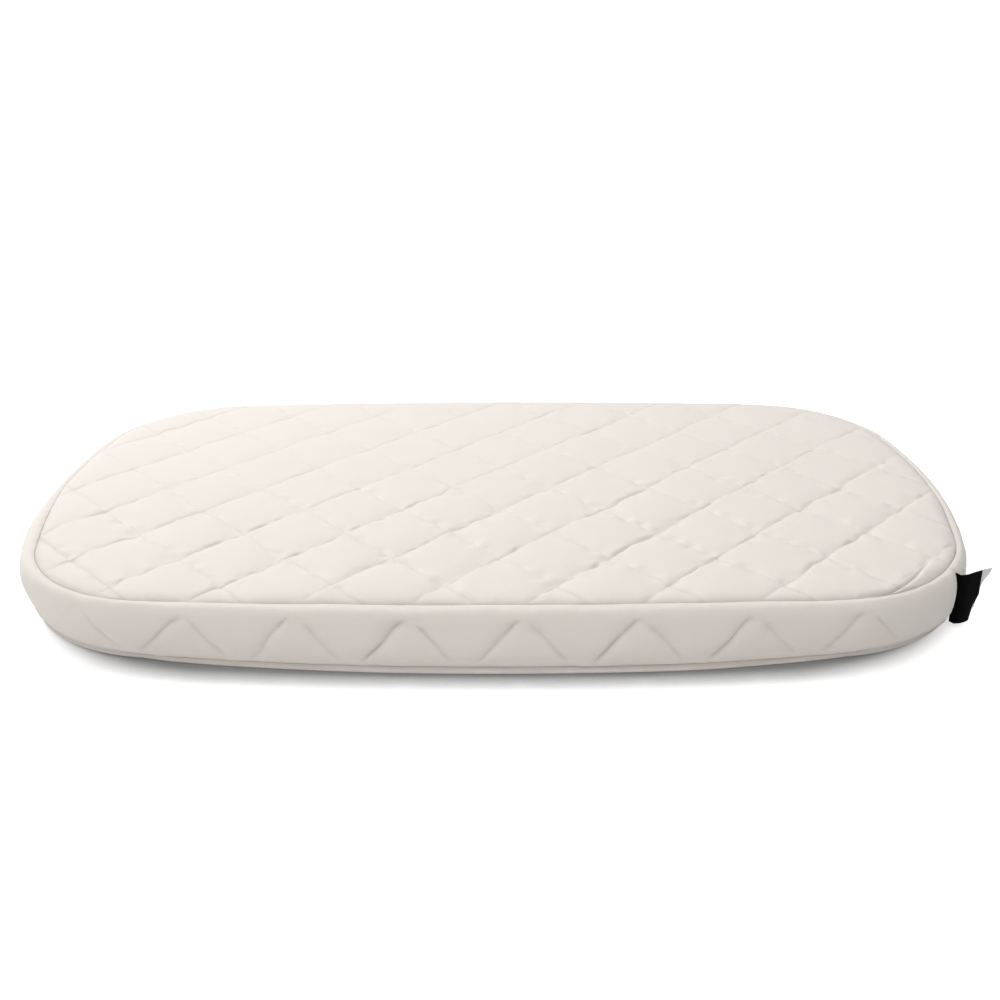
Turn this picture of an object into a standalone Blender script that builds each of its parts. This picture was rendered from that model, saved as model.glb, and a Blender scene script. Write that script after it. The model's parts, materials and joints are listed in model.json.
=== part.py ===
"""Cradle mattress: a foam core in a quilted cover that comes off through a zip in its back.

Metres, +Z up. The origin is the middle of the flat underside. +X runs to the labelled end,
-Y to the front and +Y to the back.
"""

import math

import bmesh
import bpy
from mathutils import Vector
from mathutils.geometry import delaunay_2d_cdt

# Outline seen from above: a bowed long side, a round corner and a bowed end, each tangent to the next
LENGTH = 0.750
WIDTH = 0.450
SIDE_RADIUS = 3.000
END_RADIUS = 0.530
CORNER_RADIUS = 0.127
SIDE_STEPS = 12
END_STEPS = 6
CORNER_STEPS = 8

# Space between two pieces that touch
GAP = 0.0003

# Layers from the floor up
BOTTOM_FACE = 0.0015
BOTTOM_FILL = 0.0018
BOTTOM_BACKING = 0.0004
FOAM_HEIGHT = 0.0374
FOAM_EASE = 0.0050
TOP_BACKING = 0.0004
TOP_FILL = 0.0016
TOP_FACE = 0.0013
CROWN_RISE = 0.0038
CROWN_REACH = 0.0450
CROWN_POWER = 4

# Border, from its widest line inwards
BORDER_TUCK_TOP = 0.0095
BORDER_TUCK_BOTTOM = 0.0065
BORDER_FACE = 0.0040
BORDER_EDGE = 0.0012
BORDER_FILL_EDGE = 0.0010
BORDER_BACKING = 0.0005
SEAM_ALLOWANCE = 0.0080

# Rolled edge of the underside
RIM_HEIGHT = 0.0047
ROLL_REACH = 0.0035

# Quilting: diamonds on the top, and their upper halves on the border
QUILT_PERIOD = 0.0803
QUILT_SLOPE = 1.10
QUILT_DEPTH = 0.0026
QUILT_REACH = 0.0280
UP_LINE_START = -0.0255
DOWN_LINE_START = 0.0390
QUILT_MARGIN = 0.0030
INNER_RING = 0.0060
PUFF_RING = 0.0160
BORDER_QUILT_DEPTH = 0.0016
BORDER_QUILT_REACH = 0.0160
BORDER_APEX_START = -0.0572
BORDER_LINE_ROOM = 0.0040
END_SMOOTH = 0.0900

# Upright join in the border and the two labels sewn into it
JOIN_ANGLE = math.radians(-35.0)
JOIN_WIDTH = 0.0160
JOIN_THICKNESS = 0.0012
LABEL_THICKNESS = 0.0008
LABEL_LENGTH = 0.0205
LABEL_TOP = 0.0430
LABEL_BOTTOM = 0.0030
LABEL_ROOT_TOP = 0.0415
LABEL_ROOT_BOTTOM = 0.0075
LABEL_STRAIGHT = 0.0010
LABEL_BEND = 0.0060
LABEL_LEAN = math.radians(55.0)
CARE_THICKNESS = 0.0003
CARE_LENGTH = 0.0270
CARE_BOTTOM = 0.0120
BEND_STEPS = 4
ROOT_POINTS = 2

# Zip along the middle of the border's back
ZIP_HEIGHT = 0.0250
ZIP_END_MARGIN = 0.0450
ZIP_WINDOW = 0.0120
ZIP_WINDOW_ROOM = 0.0020
TAPE_WIDTH = 0.0120
TAPE_THICKNESS = 0.0007
TAPE_TAIL = 0.0150
CHANNEL = 0.0012
COIL_WIDTH = 0.0028
COIL_DEPTH = 0.0018
COIL_SIDES = 6
STOP_LENGTH = 0.0025
SLIDER_LENGTH = 0.0120
SLIDER_PLATE = 0.0009
SLIDER_FLANGE = 0.0009
SLIDER_WEDGE = 0.0006
SLIDER_EDGE = 0.0002
BRIDGE_LENGTH = 0.0078
BRIDGE_WIDTH = 0.0022
BRIDGE_BAR = 0.0008
PULL_LENGTH = 0.0220
PULL_WIDTH = 0.0070
PULL_THICKNESS = 0.0010
PULL_EYE = 0.0050
PULL_EDGE = 0.0002

OVERRUN = 0.0020

# Border outline: share of its height, share of the bottom tuck, share of the top tuck
BORDER_PROFILE_SHARES = (
    (0.00, 1.00, 0.00),
    (0.10, 0.45, 0.00),
    (0.28, 0.10, 0.00),
    (0.52, 0.00, 0.00),
    (0.78, 0.00, 0.10),
    (0.93, 0.00, 0.36),
    (1.02, 0.00, 0.72),
    (1.00, 0.00, 1.00),
)
SHOULDER_POINT = 5
INNER_WALL_SHARES = (0.13, 0.86)
ROLL_SHARES = ((1.0, 0.0), (0.22, 0.15), (-0.15, 0.50), (0.0, 1.0))
PUFF_SHARES = ((0.5, 0.5), (0.25, 0.5), (0.75, 0.5), (0.5, 0.25), (0.5, 0.75))
BRIDGE_SHARES = (0.80, 1.00)

CREAM = (0.86, 0.82, 0.77)
CREAM_SHADE = (0.80, 0.76, 0.71)
FIBRE_WHITE = (0.88, 0.88, 0.87)
BACKING_WHITE = (0.80, 0.80, 0.79)
FOAM_WHITE = (0.90, 0.87, 0.76)
LABEL_BLACK = (0.010, 0.010, 0.011)
CARE_WHITE = (0.86, 0.86, 0.85)
TAPE_CREAM = (0.78, 0.74, 0.68)
COIL_CREAM = (0.74, 0.70, 0.64)
METAL_GREY = (0.55, 0.54, 0.52)

# Points closer than this are one point
merge_distance = GAP / 10

# Heights that the layers give
bottom_fill_z = BOTTOM_FACE + GAP
bottom_backing_z = bottom_fill_z + BOTTOM_FILL + GAP
foam_z = bottom_backing_z + BOTTOM_BACKING + GAP
foam_top_z = foam_z + FOAM_HEIGHT
top_backing_z = foam_top_z + GAP
top_fill_z = top_backing_z + TOP_BACKING + GAP
top_face_z = top_fill_z + TOP_FILL + GAP
top_seam_z = top_face_z + TOP_FACE
bottom_seam_z = RIM_HEIGHT + GAP
border_height = top_seam_z - bottom_seam_z

# Insets that the border's layers give
fill_inset = BORDER_FACE + GAP
fill_back_inset = BORDER_TUCK_BOTTOM + BORDER_EDGE + GAP + BORDER_FILL_EDGE
backing_inset = fill_back_inset + GAP
foam_inset = backing_inset + BORDER_BACKING + GAP
panel_inset = BORDER_TUCK_TOP + GAP
rim_inner_inset = BORDER_TUCK_BOTTOM + BOTTOM_FACE
underside_inset = BORDER_TUCK_BOTTOM + ROLL_REACH

# Insets of the zip's layers
tape_inset = BORDER_FACE + GAP
tape_back_inset = tape_inset + TAPE_THICKNESS
coil_back_inset = tape_inset - GAP
coil_inset = coil_back_inset - COIL_DEPTH
plate_back_inset = coil_inset - GAP
plate_inset = plate_back_inset - SLIDER_PLATE
back_plate_inset = tape_back_inset + GAP
pull_inset = -(GAP + PULL_THICKNESS / 2)
bridge_inset = pull_inset - PULL_THICKNESS / 2 - GAP
coil_half = CHANNEL / 2 + COIL_WIDTH
slider_half = coil_half + GAP + SLIDER_FLANGE
tape_half = CHANNEL / 2 + TAPE_WIDTH


def arc_centres():
    """Centres of the back side's arc, the labelled end's arc and the corner's arc between them."""
    side = Vector((0, WIDTH / 2 - SIDE_RADIUS))
    end = Vector((LENGTH / 2 - END_RADIUS, 0))
    to_side = SIDE_RADIUS - CORNER_RADIUS
    to_end = END_RADIUS - CORNER_RADIUS
    between = end - side
    along = (to_side**2 - to_end**2 + between.length_squared) / (2 * between.length)
    across = math.sqrt(to_side**2 - along**2)
    unit = between.normalized()
    corner = side + unit * along + Vector((unit.y, -unit.x)) * across
    return side, end, corner


side_centre, end_centre, corner_centre = arc_centres()
to_corner = corner_centre - side_centre
side_angle = math.atan2(to_corner.y, to_corner.x)
end_to_corner = corner_centre - end_centre
end_angle = math.atan2(end_to_corner.y, end_to_corner.x)


def mirrored(point, flip_x, flip_y):
    return Vector((-point.x if flip_x else point.x, -point.y if flip_y else point.y))


def outline_arcs():
    """The outline's arcs, anticlockwise from the border's join: centre, radius, two angles, steps."""
    turn = 2 * math.pi
    half = math.pi
    corner = CORNER_RADIUS
    share = (JOIN_ANGLE + side_angle) / (side_angle - end_angle)
    first_steps = max(2, round(CORNER_STEPS * (1 - share)))
    last_steps = max(2, CORNER_STEPS - first_steps)
    front_corner = mirrored(corner_centre, False, True)
    return [
        (front_corner, corner, JOIN_ANGLE, -end_angle, first_steps),
        (end_centre, END_RADIUS, -end_angle, end_angle, END_STEPS),
        (corner_centre, corner, end_angle, side_angle, CORNER_STEPS),
        (side_centre, SIDE_RADIUS, side_angle, half - side_angle, SIDE_STEPS),
        (mirrored(corner_centre, True, False), corner, half - side_angle, half - end_angle, CORNER_STEPS),
        (mirrored(end_centre, True, False), END_RADIUS, half - end_angle, half + end_angle, END_STEPS),
        (mirrored(corner_centre, True, True), corner, half + end_angle, half + side_angle, CORNER_STEPS),
        (mirrored(side_centre, False, True), SIDE_RADIUS, half + side_angle, turn - side_angle, SIDE_STEPS),
        (front_corner, corner, -side_angle, JOIN_ANGLE, last_steps),
    ]


arcs = outline_arcs()


def arc_length(arc):
    centre, radius, start, end, steps = arc
    return radius * (end - start)


perimeter = sum(arc_length(arc) for arc in arcs)
back_start = sum(arc_length(arc) for arc in arcs[:3])
back_length = arc_length(arcs[3])
back_middle = back_start + back_length / 2
front_start = sum(arc_length(arc) for arc in arcs[:7])
front_middle = front_start + arc_length(arcs[7]) / 2


def true_frame(along):
    """Point and outward direction on the widest line, at this distance along it from the join."""
    for arc in arcs:
        centre, radius, start, end, steps = arc
        length = arc_length(arc)
        if along <= length or arc is arcs[-1]:
            angle = start + along / radius
            out = Vector((math.cos(angle), math.sin(angle)))
            return centre + out * radius, out
        along -= length


def make_stations():
    """Places along the widest line that every ring shares, so that their facets stay parallel."""
    found = [0.0]
    done = 0.0
    for arc in arcs:
        length = arc_length(arc)
        steps = arc[4]
        found += [done + length * step / steps for step in range(1, steps + 1)]
        done += length
    return found


stations = make_stations()
station_frames = [true_frame(along) for along in stations]
corner_stations = [
    along
    for along, (point, out) in zip(stations, station_frames)
    if end_angle < math.atan2(abs(out.y), abs(out.x)) < side_angle
]


def facet_frame(along):
    """Like true_frame, on the straight facet between two stations."""
    for i, after in enumerate(stations[1:]):
        if along <= after:
            before = stations[i]
            share = (along - before) / (after - before)
            point, out = station_frames[i]
            next_point, next_out = station_frames[i + 1]
            return point.lerp(next_point, share), out.lerp(next_out, share)
    return station_frames[-1]


def facet_frames(start, end):
    inside = [along for along in stations if start < along < end]
    return [facet_frame(along) for along in [start, *inside, end]]


def at(frame, inset, z):
    point, out = frame
    place = point - out * inset
    return Vector((place.x, place.y, z))


def plain_material(name, colour, roughness, metallic=0.0):
    material = bpy.data.materials.new(name)
    material.use_nodes = True
    shader = material.node_tree.nodes["Principled BSDF"]
    shader.inputs["Base Color"].default_value = (*colour, 1.0)
    shader.inputs["Roughness"].default_value = roughness
    shader.inputs["Metallic"].default_value = metallic
    material.diffuse_color = (*colour, 1.0)
    return material


def finish_object(name, mesh, material, smooth_angle=None):
    obj = bpy.data.objects.new(name, mesh)
    bpy.context.scene.collection.objects.link(obj)
    if material:
        mesh.materials.append(material)
    if smooth_angle is not None:
        mesh.shade_smooth()
        mesh.set_sharp_from_angle(angle=smooth_angle)
    return obj


def object_from_bmesh(name, bm, material, smooth_angle=None):
    bmesh.ops.recalc_face_normals(bm, faces=bm.faces)
    if bm.calc_volume(signed=True) < 0:
        bmesh.ops.reverse_faces(bm, faces=bm.faces)
    mesh = bpy.data.meshes.new(name)
    bm.to_mesh(mesh)
    bm.free()
    return finish_object(name, mesh, material, smooth_angle)


def swept(name, frames, section, material, closed, smooth_angle=None):
    """A section of (inset, height) points swept along the frames, as a ring or with two end caps."""
    bm = bmesh.new()
    loops = [[bm.verts.new(at(frame, inset, z)) for inset, z in section] for frame in frames]
    count = len(section)
    last = len(loops) if closed else len(loops) - 1
    for i in range(last):
        here = loops[i]
        there = loops[(i + 1) % len(loops)]
        for j in range(count):
            k = (j + 1) % count
            bm.faces.new((here[j], there[j], there[k], here[k]))
    if not closed:
        bm.faces.new(loops[0])
        bm.faces.new(reversed(loops[-1]))
    return object_from_bmesh(name, bm, material, smooth_angle)


def ring(name, section, material, smooth_angle=None):
    return swept(name, station_frames[:-1], section, material, True, smooth_angle)


def plate(name, levels, material, smooth_angle=None):
    """Outlines at (inset, height) levels joined in turn, with the first and the last one closed."""
    bm = bmesh.new()
    loops = [[bm.verts.new(at(frame, inset, z)) for frame in station_frames[:-1]] for inset, z in levels]
    for here, there in zip(loops, loops[1:]):
        for i, vertex in enumerate(here):
            j = (i + 1) % len(here)
            bm.faces.new((vertex, here[j], there[j], there[i]))
    bm.faces.new(reversed(loops[0]))
    bm.faces.new(loops[-1])
    return object_from_bmesh(name, bm, material, smooth_angle)


def layer(name, inset, z, thickness, material):
    return plate(name, [(inset, z), (inset, z + thickness)], material)


def box_section(inset, inset_end, z, z_end):
    return [(inset, z), (inset_end, z), (inset_end, z_end), (inset, z_end)]


def cut(target, cutter):
    cutter.hide_render = True
    cutter.display_type = "WIRE"
    modifier = target.modifiers.new(cutter.name, "BOOLEAN")
    modifier.operation = "DIFFERENCE"
    modifier.object = cutter


def join(target, other):
    other.hide_render = True
    other.display_type = "WIRE"
    modifier = target.modifiers.new(other.name, "BOOLEAN")
    modifier.operation = "UNION"
    modifier.object = other


def move_origin(obj, origin, parent=None):
    """Puts the object's origin at a point without moving its shape, and parents it there."""
    obj.data.transform(obj.matrix_world.Translation(-origin))
    obj.location = origin - (parent.location if parent else Vector())
    obj.parent = parent


def mesh_from_plane_points(points, edges, loop_sizes, lift):
    """Triangles inside the first loop of points and outside the loops after it, lifted into space."""
    loops = []
    done = 0
    for size in loop_sizes:
        loops.append(range(done, done + size))
        done += size
    flat, _, faces, sources, _, owners = delaunay_2d_cdt(points, edges, loops, 0, merge_distance / 10)
    bm = bmesh.new()
    made = {}
    for face, owner in zip(faces, owners):
        if list(owner) != [0]:
            continue
        for i in face:
            if i not in made:
                on_loop = any(source < done for source in sources[i])
                made[i] = bm.verts.new(lift(flat[i], on_loop))
        bm.faces.new([made[i] for i in face])
    return bm


def add_tunnel(bm, near, far):
    """Walls between two closed loops of places with as many corners."""
    near_loop = [bm.verts.new(place) for place in near]
    far_loop = [bm.verts.new(place) for place in far]
    for i, vertex in enumerate(near_loop):
        j = (i + 1) % len(near_loop)
        bm.faces.new((vertex, near_loop[j], far_loop[j], far_loop[i]))


def falloff(distance, reach):
    return max(0.0, 1 - distance / reach) ** 2


# Places along the zip
zip_start = back_start + ZIP_END_MARGIN
zip_end = back_start + back_length - ZIP_END_MARGIN
slider_start = zip_start + SLIDER_LENGTH / 2 + GAP
slider_end = zip_end - SLIDER_LENGTH / 2 - GAP
slider_travel = (slider_end - slider_start) / SIDE_RADIUS
slider_frame = true_frame(slider_start)
slide_axis_point = Vector((side_centre.x, side_centre.y, ZIP_HEIGHT))


# Top panel

panel_outline = [at(frame, panel_inset, top_seam_z) for frame in station_frames[:-1]]


def depth_inside(x, y):
    """How far a place lies inside the panel's seam."""
    nearest = LENGTH
    for i, corner in enumerate(panel_outline):
        following = panel_outline[(i + 1) % len(panel_outline)]
        edge = (following - corner).to_2d().normalized()
        nearest = min(nearest, edge.x * (y - corner.y) - edge.y * (x - corner.x))
    return nearest


def lattice_place(up, down):
    """Where an upward line and a downward line of these numbers cross."""
    x = (UP_LINE_START + DOWN_LINE_START + (up + down) * QUILT_PERIOD) / 2
    y = QUILT_SLOPE * (DOWN_LINE_START - UP_LINE_START + (down - up) * QUILT_PERIOD) / 2
    return x, y


def line_distance(x, y):
    """Distance from a place on the top to its nearest quilting line."""
    up = (x - y / QUILT_SLOPE - UP_LINE_START) / QUILT_PERIOD
    down = (x + y / QUILT_SLOPE - DOWN_LINE_START) / QUILT_PERIOD
    off = min(abs(up - round(up)), abs(down - round(down)))
    return off * QUILT_PERIOD * QUILT_SLOPE / math.hypot(1, QUILT_SLOPE)


def top_height(place, on_loop):
    depth = depth_inside(place.x, place.y)
    swell = 1 - (1 - min(max(depth, 0.0) / CROWN_REACH, 1.0)) ** CROWN_POWER
    groove = QUILT_DEPTH * falloff(line_distance(place.x, place.y), QUILT_REACH)
    return Vector((place.x, place.y, top_seam_z + swell * (CROWN_RISE - groove)))


def lattice_points_and_lines(points):
    """Adds the quilting lines' crossings and middles, joined along each line, and the puffs' places."""
    edges = []
    count = math.ceil(LENGTH / QUILT_PERIOD) + math.ceil(WIDTH / QUILT_PERIOD)
    numbers = range(-count, count + 1)
    for fixed in numbers:
        for upward in (True, False):
            before = None
            for step in range(-2 * count, 2 * count + 1):
                pair = (fixed, step / 2) if upward else (step / 2, fixed)
                x, y = lattice_place(*pair)
                if depth_inside(x, y) < QUILT_MARGIN:
                    before = None
                    continue
                points.append(Vector((x, y)))
                if before is not None:
                    edges.append((before, len(points) - 1))
                before = len(points) - 1
    for up in numbers:
        for down in numbers:
            for up_share, down_share in PUFF_SHARES:
                x, y = lattice_place(up + up_share, down + down_share)
                if depth_inside(x, y) > PUFF_RING + QUILT_MARGIN:
                    points.append(Vector((x, y)))
    return edges


def make_top_face(material):
    points = [corner.to_2d() for corner in panel_outline]
    outline_count = len(points)
    for inset in (INNER_RING, PUFF_RING):
        points += [at(frame, panel_inset + inset, 0).to_2d() for frame in station_frames[:-1]]
    edges = lattice_points_and_lines(points)
    bm = mesh_from_plane_points(points, edges, [outline_count], top_height)
    rim = [edge for edge in bm.edges if edge.is_boundary]
    made = bmesh.ops.extrude_edge_only(bm, edges=rim)["geom"]
    lower = [item for item in made if isinstance(item, bmesh.types.BMVert)]
    for vertex in lower:
        vertex.co.z = top_face_z
    bmesh.ops.contextual_create(bm, geom=[edge for edge in bm.edges if edge.is_boundary])
    return object_from_bmesh("top_quilted_face", bm, material, math.radians(50))


# Border

def profile_point(shares):
    height, bottom, top = shares
    return bottom * BORDER_TUCK_BOTTOM + top * BORDER_TUCK_TOP, bottom_seam_z + height * border_height


profile = [profile_point(shares) for shares in BORDER_PROFILE_SHARES]
rows = [0.0]
for here, there in zip(profile, profile[1:]):
    rows.append(rows[-1] + math.dist(here, there))
cloth_height = rows[-1]
apex_row = rows[SHOULDER_POINT]
inner_levels = [bottom_seam_z + share * border_height for share in INNER_WALL_SHARES]
inner_top_z = top_seam_z - BORDER_EDGE


def profile_at(up):
    """Inset and height of the border's surface, this far up its cloth from the bottom seam."""
    for i, after in enumerate(rows[1:]):
        if up <= after or after == cloth_height:
            share = (up - rows[i]) / (after - rows[i])
            return tuple(a + (b - a) * share for a, b in zip(profile[i], profile[i + 1]))


def cloth_up(z):
    """How far up the border's cloth its side reaches this height."""
    for i, (inset, after) in enumerate(profile[1:]):
        before = profile[i][1]
        if z <= after:
            return rows[i] + (rows[i + 1] - rows[i]) * (z - before) / (after - before)


def inner_wall_inset(z):
    """Inset of the border face's inner side at this height."""
    low_z, high_z = inner_levels
    if z < low_z:
        slope = (BORDER_TUCK_BOTTOM + BORDER_EDGE - BORDER_FACE) / (low_z - bottom_seam_z)
        return BORDER_FACE + (low_z - z) * slope
    if z > high_z:
        slope = (BORDER_TUCK_TOP - BORDER_FACE) / (inner_top_z - high_z)
        return BORDER_FACE + (z - high_z) * slope
    return BORDER_FACE


# Openings in the border's face: the zip's window, and the slot for the labels across the join
window_start = zip_start - STOP_LENGTH - ZIP_WINDOW_ROOM
window_end = zip_end + STOP_LENGTH + ZIP_WINDOW_ROOM
window_low = ZIP_HEIGHT - ZIP_WINDOW / 2
window_high = ZIP_HEIGHT + ZIP_WINDOW / 2
slot_before = LABEL_THICKNESS / 2 + GAP
slot_after = slot_before + CARE_THICKNESS + GAP
slot_low = LABEL_ROOT_BOTTOM - GAP
slot_high = LABEL_ROOT_TOP + GAP
slot_heights = [z for inset, z in profile[:-1] if slot_low < z < slot_high]
slot_heights += [z for z in inner_levels if slot_low < z < slot_high]
slot_heights = [slot_low, *sorted(slot_heights), slot_high]


def window_loop():
    """The zip window's corners, as distances along the border and heights."""
    alongs = [window_start, *[along for along in stations if window_start < along < window_end], window_end]
    low_side = [(along, window_low) for along in alongs]
    return low_side + [(along, window_high) for along in reversed(alongs)]


def slot_loop():
    """The label slot's corners, as distances along the border and heights."""
    after_side = [(slot_after, z) for z in slot_heights]
    before_side = [(perimeter - slot_before, z) for z in reversed(slot_heights)]
    return [(0.0, slot_low), *after_side, (0.0, slot_high), *before_side]


def band_outline(alongs, side_ups, to_up):
    """The band laid out flat, cut at the join, so that each end has half of the label slot in it."""
    low = to_up(slot_low)
    high = to_up(slot_high)
    below = [up for up in side_ups if up < low]
    above = [up for up in side_ups if up > high]
    points = [Vector((along, below[0])) for along in alongs]
    points += [Vector((perimeter, up)) for up in [*below[1:], low]]
    points += [Vector((perimeter - slot_before, to_up(z))) for z in slot_heights]
    points += [Vector((perimeter, up)) for up in [high, *above[:-1]]]
    points += [Vector((along, above[-1])) for along in reversed(alongs)]
    points += [Vector((0, up)) for up in reversed([high, *above[:-1]])]
    points += [Vector((slot_after, to_up(z))) for z in reversed(slot_heights)]
    points += [Vector((0, up)) for up in reversed([*below[1:], low])]
    return points


def apex_places():
    """Distances along the border of the chevrons' tops, counted both ways from the front."""
    start = front_middle + BORDER_APEX_START
    most = math.ceil(perimeter / QUILT_PERIOD)
    places = [start + number * QUILT_PERIOD for number in range(-most, most + 1)]
    return [place for place in places if BORDER_LINE_ROOM < place < perimeter - BORDER_LINE_ROOM]


apexes = apex_places()
half_period = QUILT_PERIOD / 2


def chevron_distance(along, up):
    """Distance on the cloth from a place to the nearest leg of a chevron."""
    off = abs((along - front_middle - BORDER_APEX_START + half_period) % QUILT_PERIOD - half_period)
    leg = abs(off * QUILT_SLOPE - (apex_row - up)) / math.hypot(1, QUILT_SLOPE)
    return max(leg, up - apex_row)


def window_distance(along, up):
    """Distance on the cloth from a place to the zip's window."""
    aside = max(window_start - along, along - window_end, 0.0)
    return math.hypot(aside, max(cloth_up(window_low) - up, up - cloth_up(window_high), 0.0))


def border_place(place, on_loop):
    """Wraps a place on the flat cloth round the outline."""
    along, up = place
    frame = facet_frame(along) if on_loop else true_frame(along)
    inset, z = profile_at(up)
    if on_loop:
        return at(frame, inset, z)
    side = min(1.0, max(0.0, (LENGTH / 2 - abs(frame[0].x)) / END_SMOOTH))
    side *= min(1.0, window_distance(along, up) / BORDER_QUILT_REACH)
    side *= math.sin(math.pi * up / cloth_height)
    groove = BORDER_QUILT_DEPTH * falloff(chevron_distance(along, up), BORDER_QUILT_REACH)
    return at(frame, inset + groove * side, z)


def border_clear(along, up):
    """Whether a place on the flat cloth keeps clear of the join and the zip's window."""
    room = BORDER_LINE_ROOM
    return slot_after + room < along < perimeter - room and window_distance(along, up) > room


def row_lines(points, up):
    """Edges along the band through its points at one level, so that it keeps its bulge there."""
    found = sorted((point.x, i) for i, point in enumerate(points) if abs(point.y - up) < merge_distance)
    edges = []
    for (before, i), (after, j) in zip(found, found[1:]):
        over_window = before < window_start and after > window_end
        if after - before > merge_distance and not over_window:
            edges.append((i, j))
    return edges


def border_points_and_lines(points):
    """Adds the chevrons' legs, and columns of points between them and round the corners."""
    edges = []
    room = BORDER_LINE_ROOM
    levels = rows[1:-1]
    leg_levels = rows[SHOULDER_POINT:0:-1]
    for apex in apexes:
        for side in (-1, 1):
            before = None
            for up in leg_levels:
                along = apex + side * (apex_row - up) / QUILT_SLOPE
                if not border_clear(along, up):
                    before = None
                    continue
                points.append(Vector((along, up)))
                if before is not None:
                    edges.append((before, len(points) - 1))
                before = len(points) - 1
    columns = [apexes[0] + number * half_period for number in range(-1, 2 * len(apexes) + 1)]
    columns += corner_stations
    for along in columns:
        for up in levels:
            if border_clear(along, up) and chevron_distance(along, up) > room:
                points.append(Vector((along, up)))
    for up in levels:
        edges += row_lines(points, up)
    return edges


def make_border_face(material):
    """The quilted band: cloth laid out flat, wrapped round and backed by an inner wall."""
    points = band_outline(stations, rows, cloth_up)
    loop_sizes = [len(points), len(window_loop())]
    points += [Vector((along, cloth_up(z))) for along, z in window_loop()]
    edges = border_points_and_lines(points)
    bm = mesh_from_plane_points(points, edges, loop_sizes, border_place)

    def wall_place(place, on_loop=True):
        along, z = place
        return at(facet_frame(along), inner_wall_inset(z), z)

    def face_place(place):
        along, z = place
        return at(facet_frame(along), *profile_at(cloth_up(z)))

    points = band_outline(stations, [bottom_seam_z, *inner_levels, inner_top_z], float)
    loop_sizes = [len(points), len(window_loop())]
    points += [Vector(place) for place in window_loop()]
    points += [Vector((along, z)) for along in stations[1:-1] for z in inner_levels]
    wall = mesh_from_plane_points(points, [], loop_sizes, wall_place)
    wall_mesh = bpy.data.meshes.new("inner_wall")
    wall.to_mesh(wall_mesh)
    wall.free()
    bm.from_mesh(wall_mesh)
    bpy.data.meshes.remove(wall_mesh)
    for loop in (window_loop(), slot_loop()):
        add_tunnel(bm, [face_place(place) for place in loop], [wall_place(place) for place in loop])
    frames = station_frames[:-1]
    for up, z in ((0.0, bottom_seam_z), (cloth_height, inner_top_z)):
        near = [at(frame, *profile_at(up)) for frame in frames]
        add_tunnel(bm, near, [at(frame, inner_wall_inset(z), z) for frame in frames])
    bmesh.ops.remove_doubles(bm, verts=bm.verts, dist=merge_distance)
    return object_from_bmesh("border_quilted_face", bm, material, math.radians(50))


def make_border_fill(material):
    levels = [bottom_seam_z, *inner_levels, foam_top_z]
    outer = [(inner_wall_inset(z) + GAP, z) for z in levels]
    inner = [(fill_back_inset, foam_top_z), (fill_back_inset, bottom_seam_z)]
    return ring("border_fibre_fill", outer + inner, material)


# Labels and the border's join

join_frame = station_frames[0]


def join_place(out, along, z):
    """A place out from the join and along the border towards the labelled end."""
    point, normal = join_frame
    tangent = Vector((-normal.y, normal.x))
    place = point + normal * out + tangent * along
    return Vector((place.x, place.y, z))


def label_path(length, side, bend):
    """Middle line of a label: out of the slot, round a bend, then straight, as (out, along) points."""
    path = [Vector((-BORDER_FACE, side)), Vector((0, side)), Vector((LABEL_STRAIGHT, side))]
    for step in range(1, BEND_STEPS + 1):
        angle = LABEL_LEAN * step / BEND_STEPS
        path.append(Vector((LABEL_STRAIGHT + bend * math.sin(angle), side + bend * (1 - math.cos(angle)))))
    straight = length - LABEL_STRAIGHT - bend * LABEL_LEAN
    path.append(path[-1] + Vector((math.cos(LABEL_LEAN), math.sin(LABEL_LEAN))) * straight)
    return path


def make_label(name, path, thickness, root_bottom, bottom, material):
    """A strip that stands on edge along the path: lower in the slot, full height outside it."""
    bm = bmesh.new()
    loops = []
    for i, place in enumerate(path):
        before = path[max(i - 1, 0)]
        after = path[min(i + 1, len(path) - 1)]
        across = (after - before).normalized().orthogonal() * thickness / 2
        low = root_bottom if i < ROOT_POINTS else bottom
        high = LABEL_ROOT_TOP if i < ROOT_POINTS else LABEL_TOP
        corners = ((place - across, low), (place + across, low), (place + across, high), (place - across, high))
        loops.append([bm.verts.new(join_place(corner.x, corner.y, z)) for corner, z in corners])
    for here, there in zip(loops, loops[1:]):
        for j in range(4):
            k = (j + 1) % 4
            bm.faces.new((here[j], there[j], there[k], here[k]))
    bm.faces.new(loops[0])
    bm.faces.new(reversed(loops[-1]))
    return object_from_bmesh(name, bm, material, math.radians(40))


# Zip

def slider_place(along, inset, up):
    """A place beside the parked slider: along the zip, in from the widest line, up from its middle."""
    point, normal = slider_frame
    tangent = Vector((-normal.y, normal.x))
    place = point - normal * inset + tangent * along
    return Vector((place.x, place.y, ZIP_HEIGHT + up))


def slider_prism(name, places, offset, material=None):
    """A flat shape of places beside the slider, pushed through by an offset of (along, inset, up)."""
    bm = bmesh.new()
    near = [bm.verts.new(slider_place(*place)) for place in places]
    far = [bm.verts.new(slider_place(*(a + b for a, b in zip(place, offset)))) for place in places]
    bm.faces.new(near)
    bm.faces.new(reversed(far))
    for i, vertex in enumerate(near):
        j = (i + 1) % len(near)
        bm.faces.new((vertex, far[i], far[j], near[j]))
    return object_from_bmesh(name, bm, material)


def bevel(obj, width):
    modifier = obj.modifiers.new("edges", "BEVEL")
    modifier.width = width
    modifier.segments = 1
    modifier.limit_method = "ANGLE"


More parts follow.
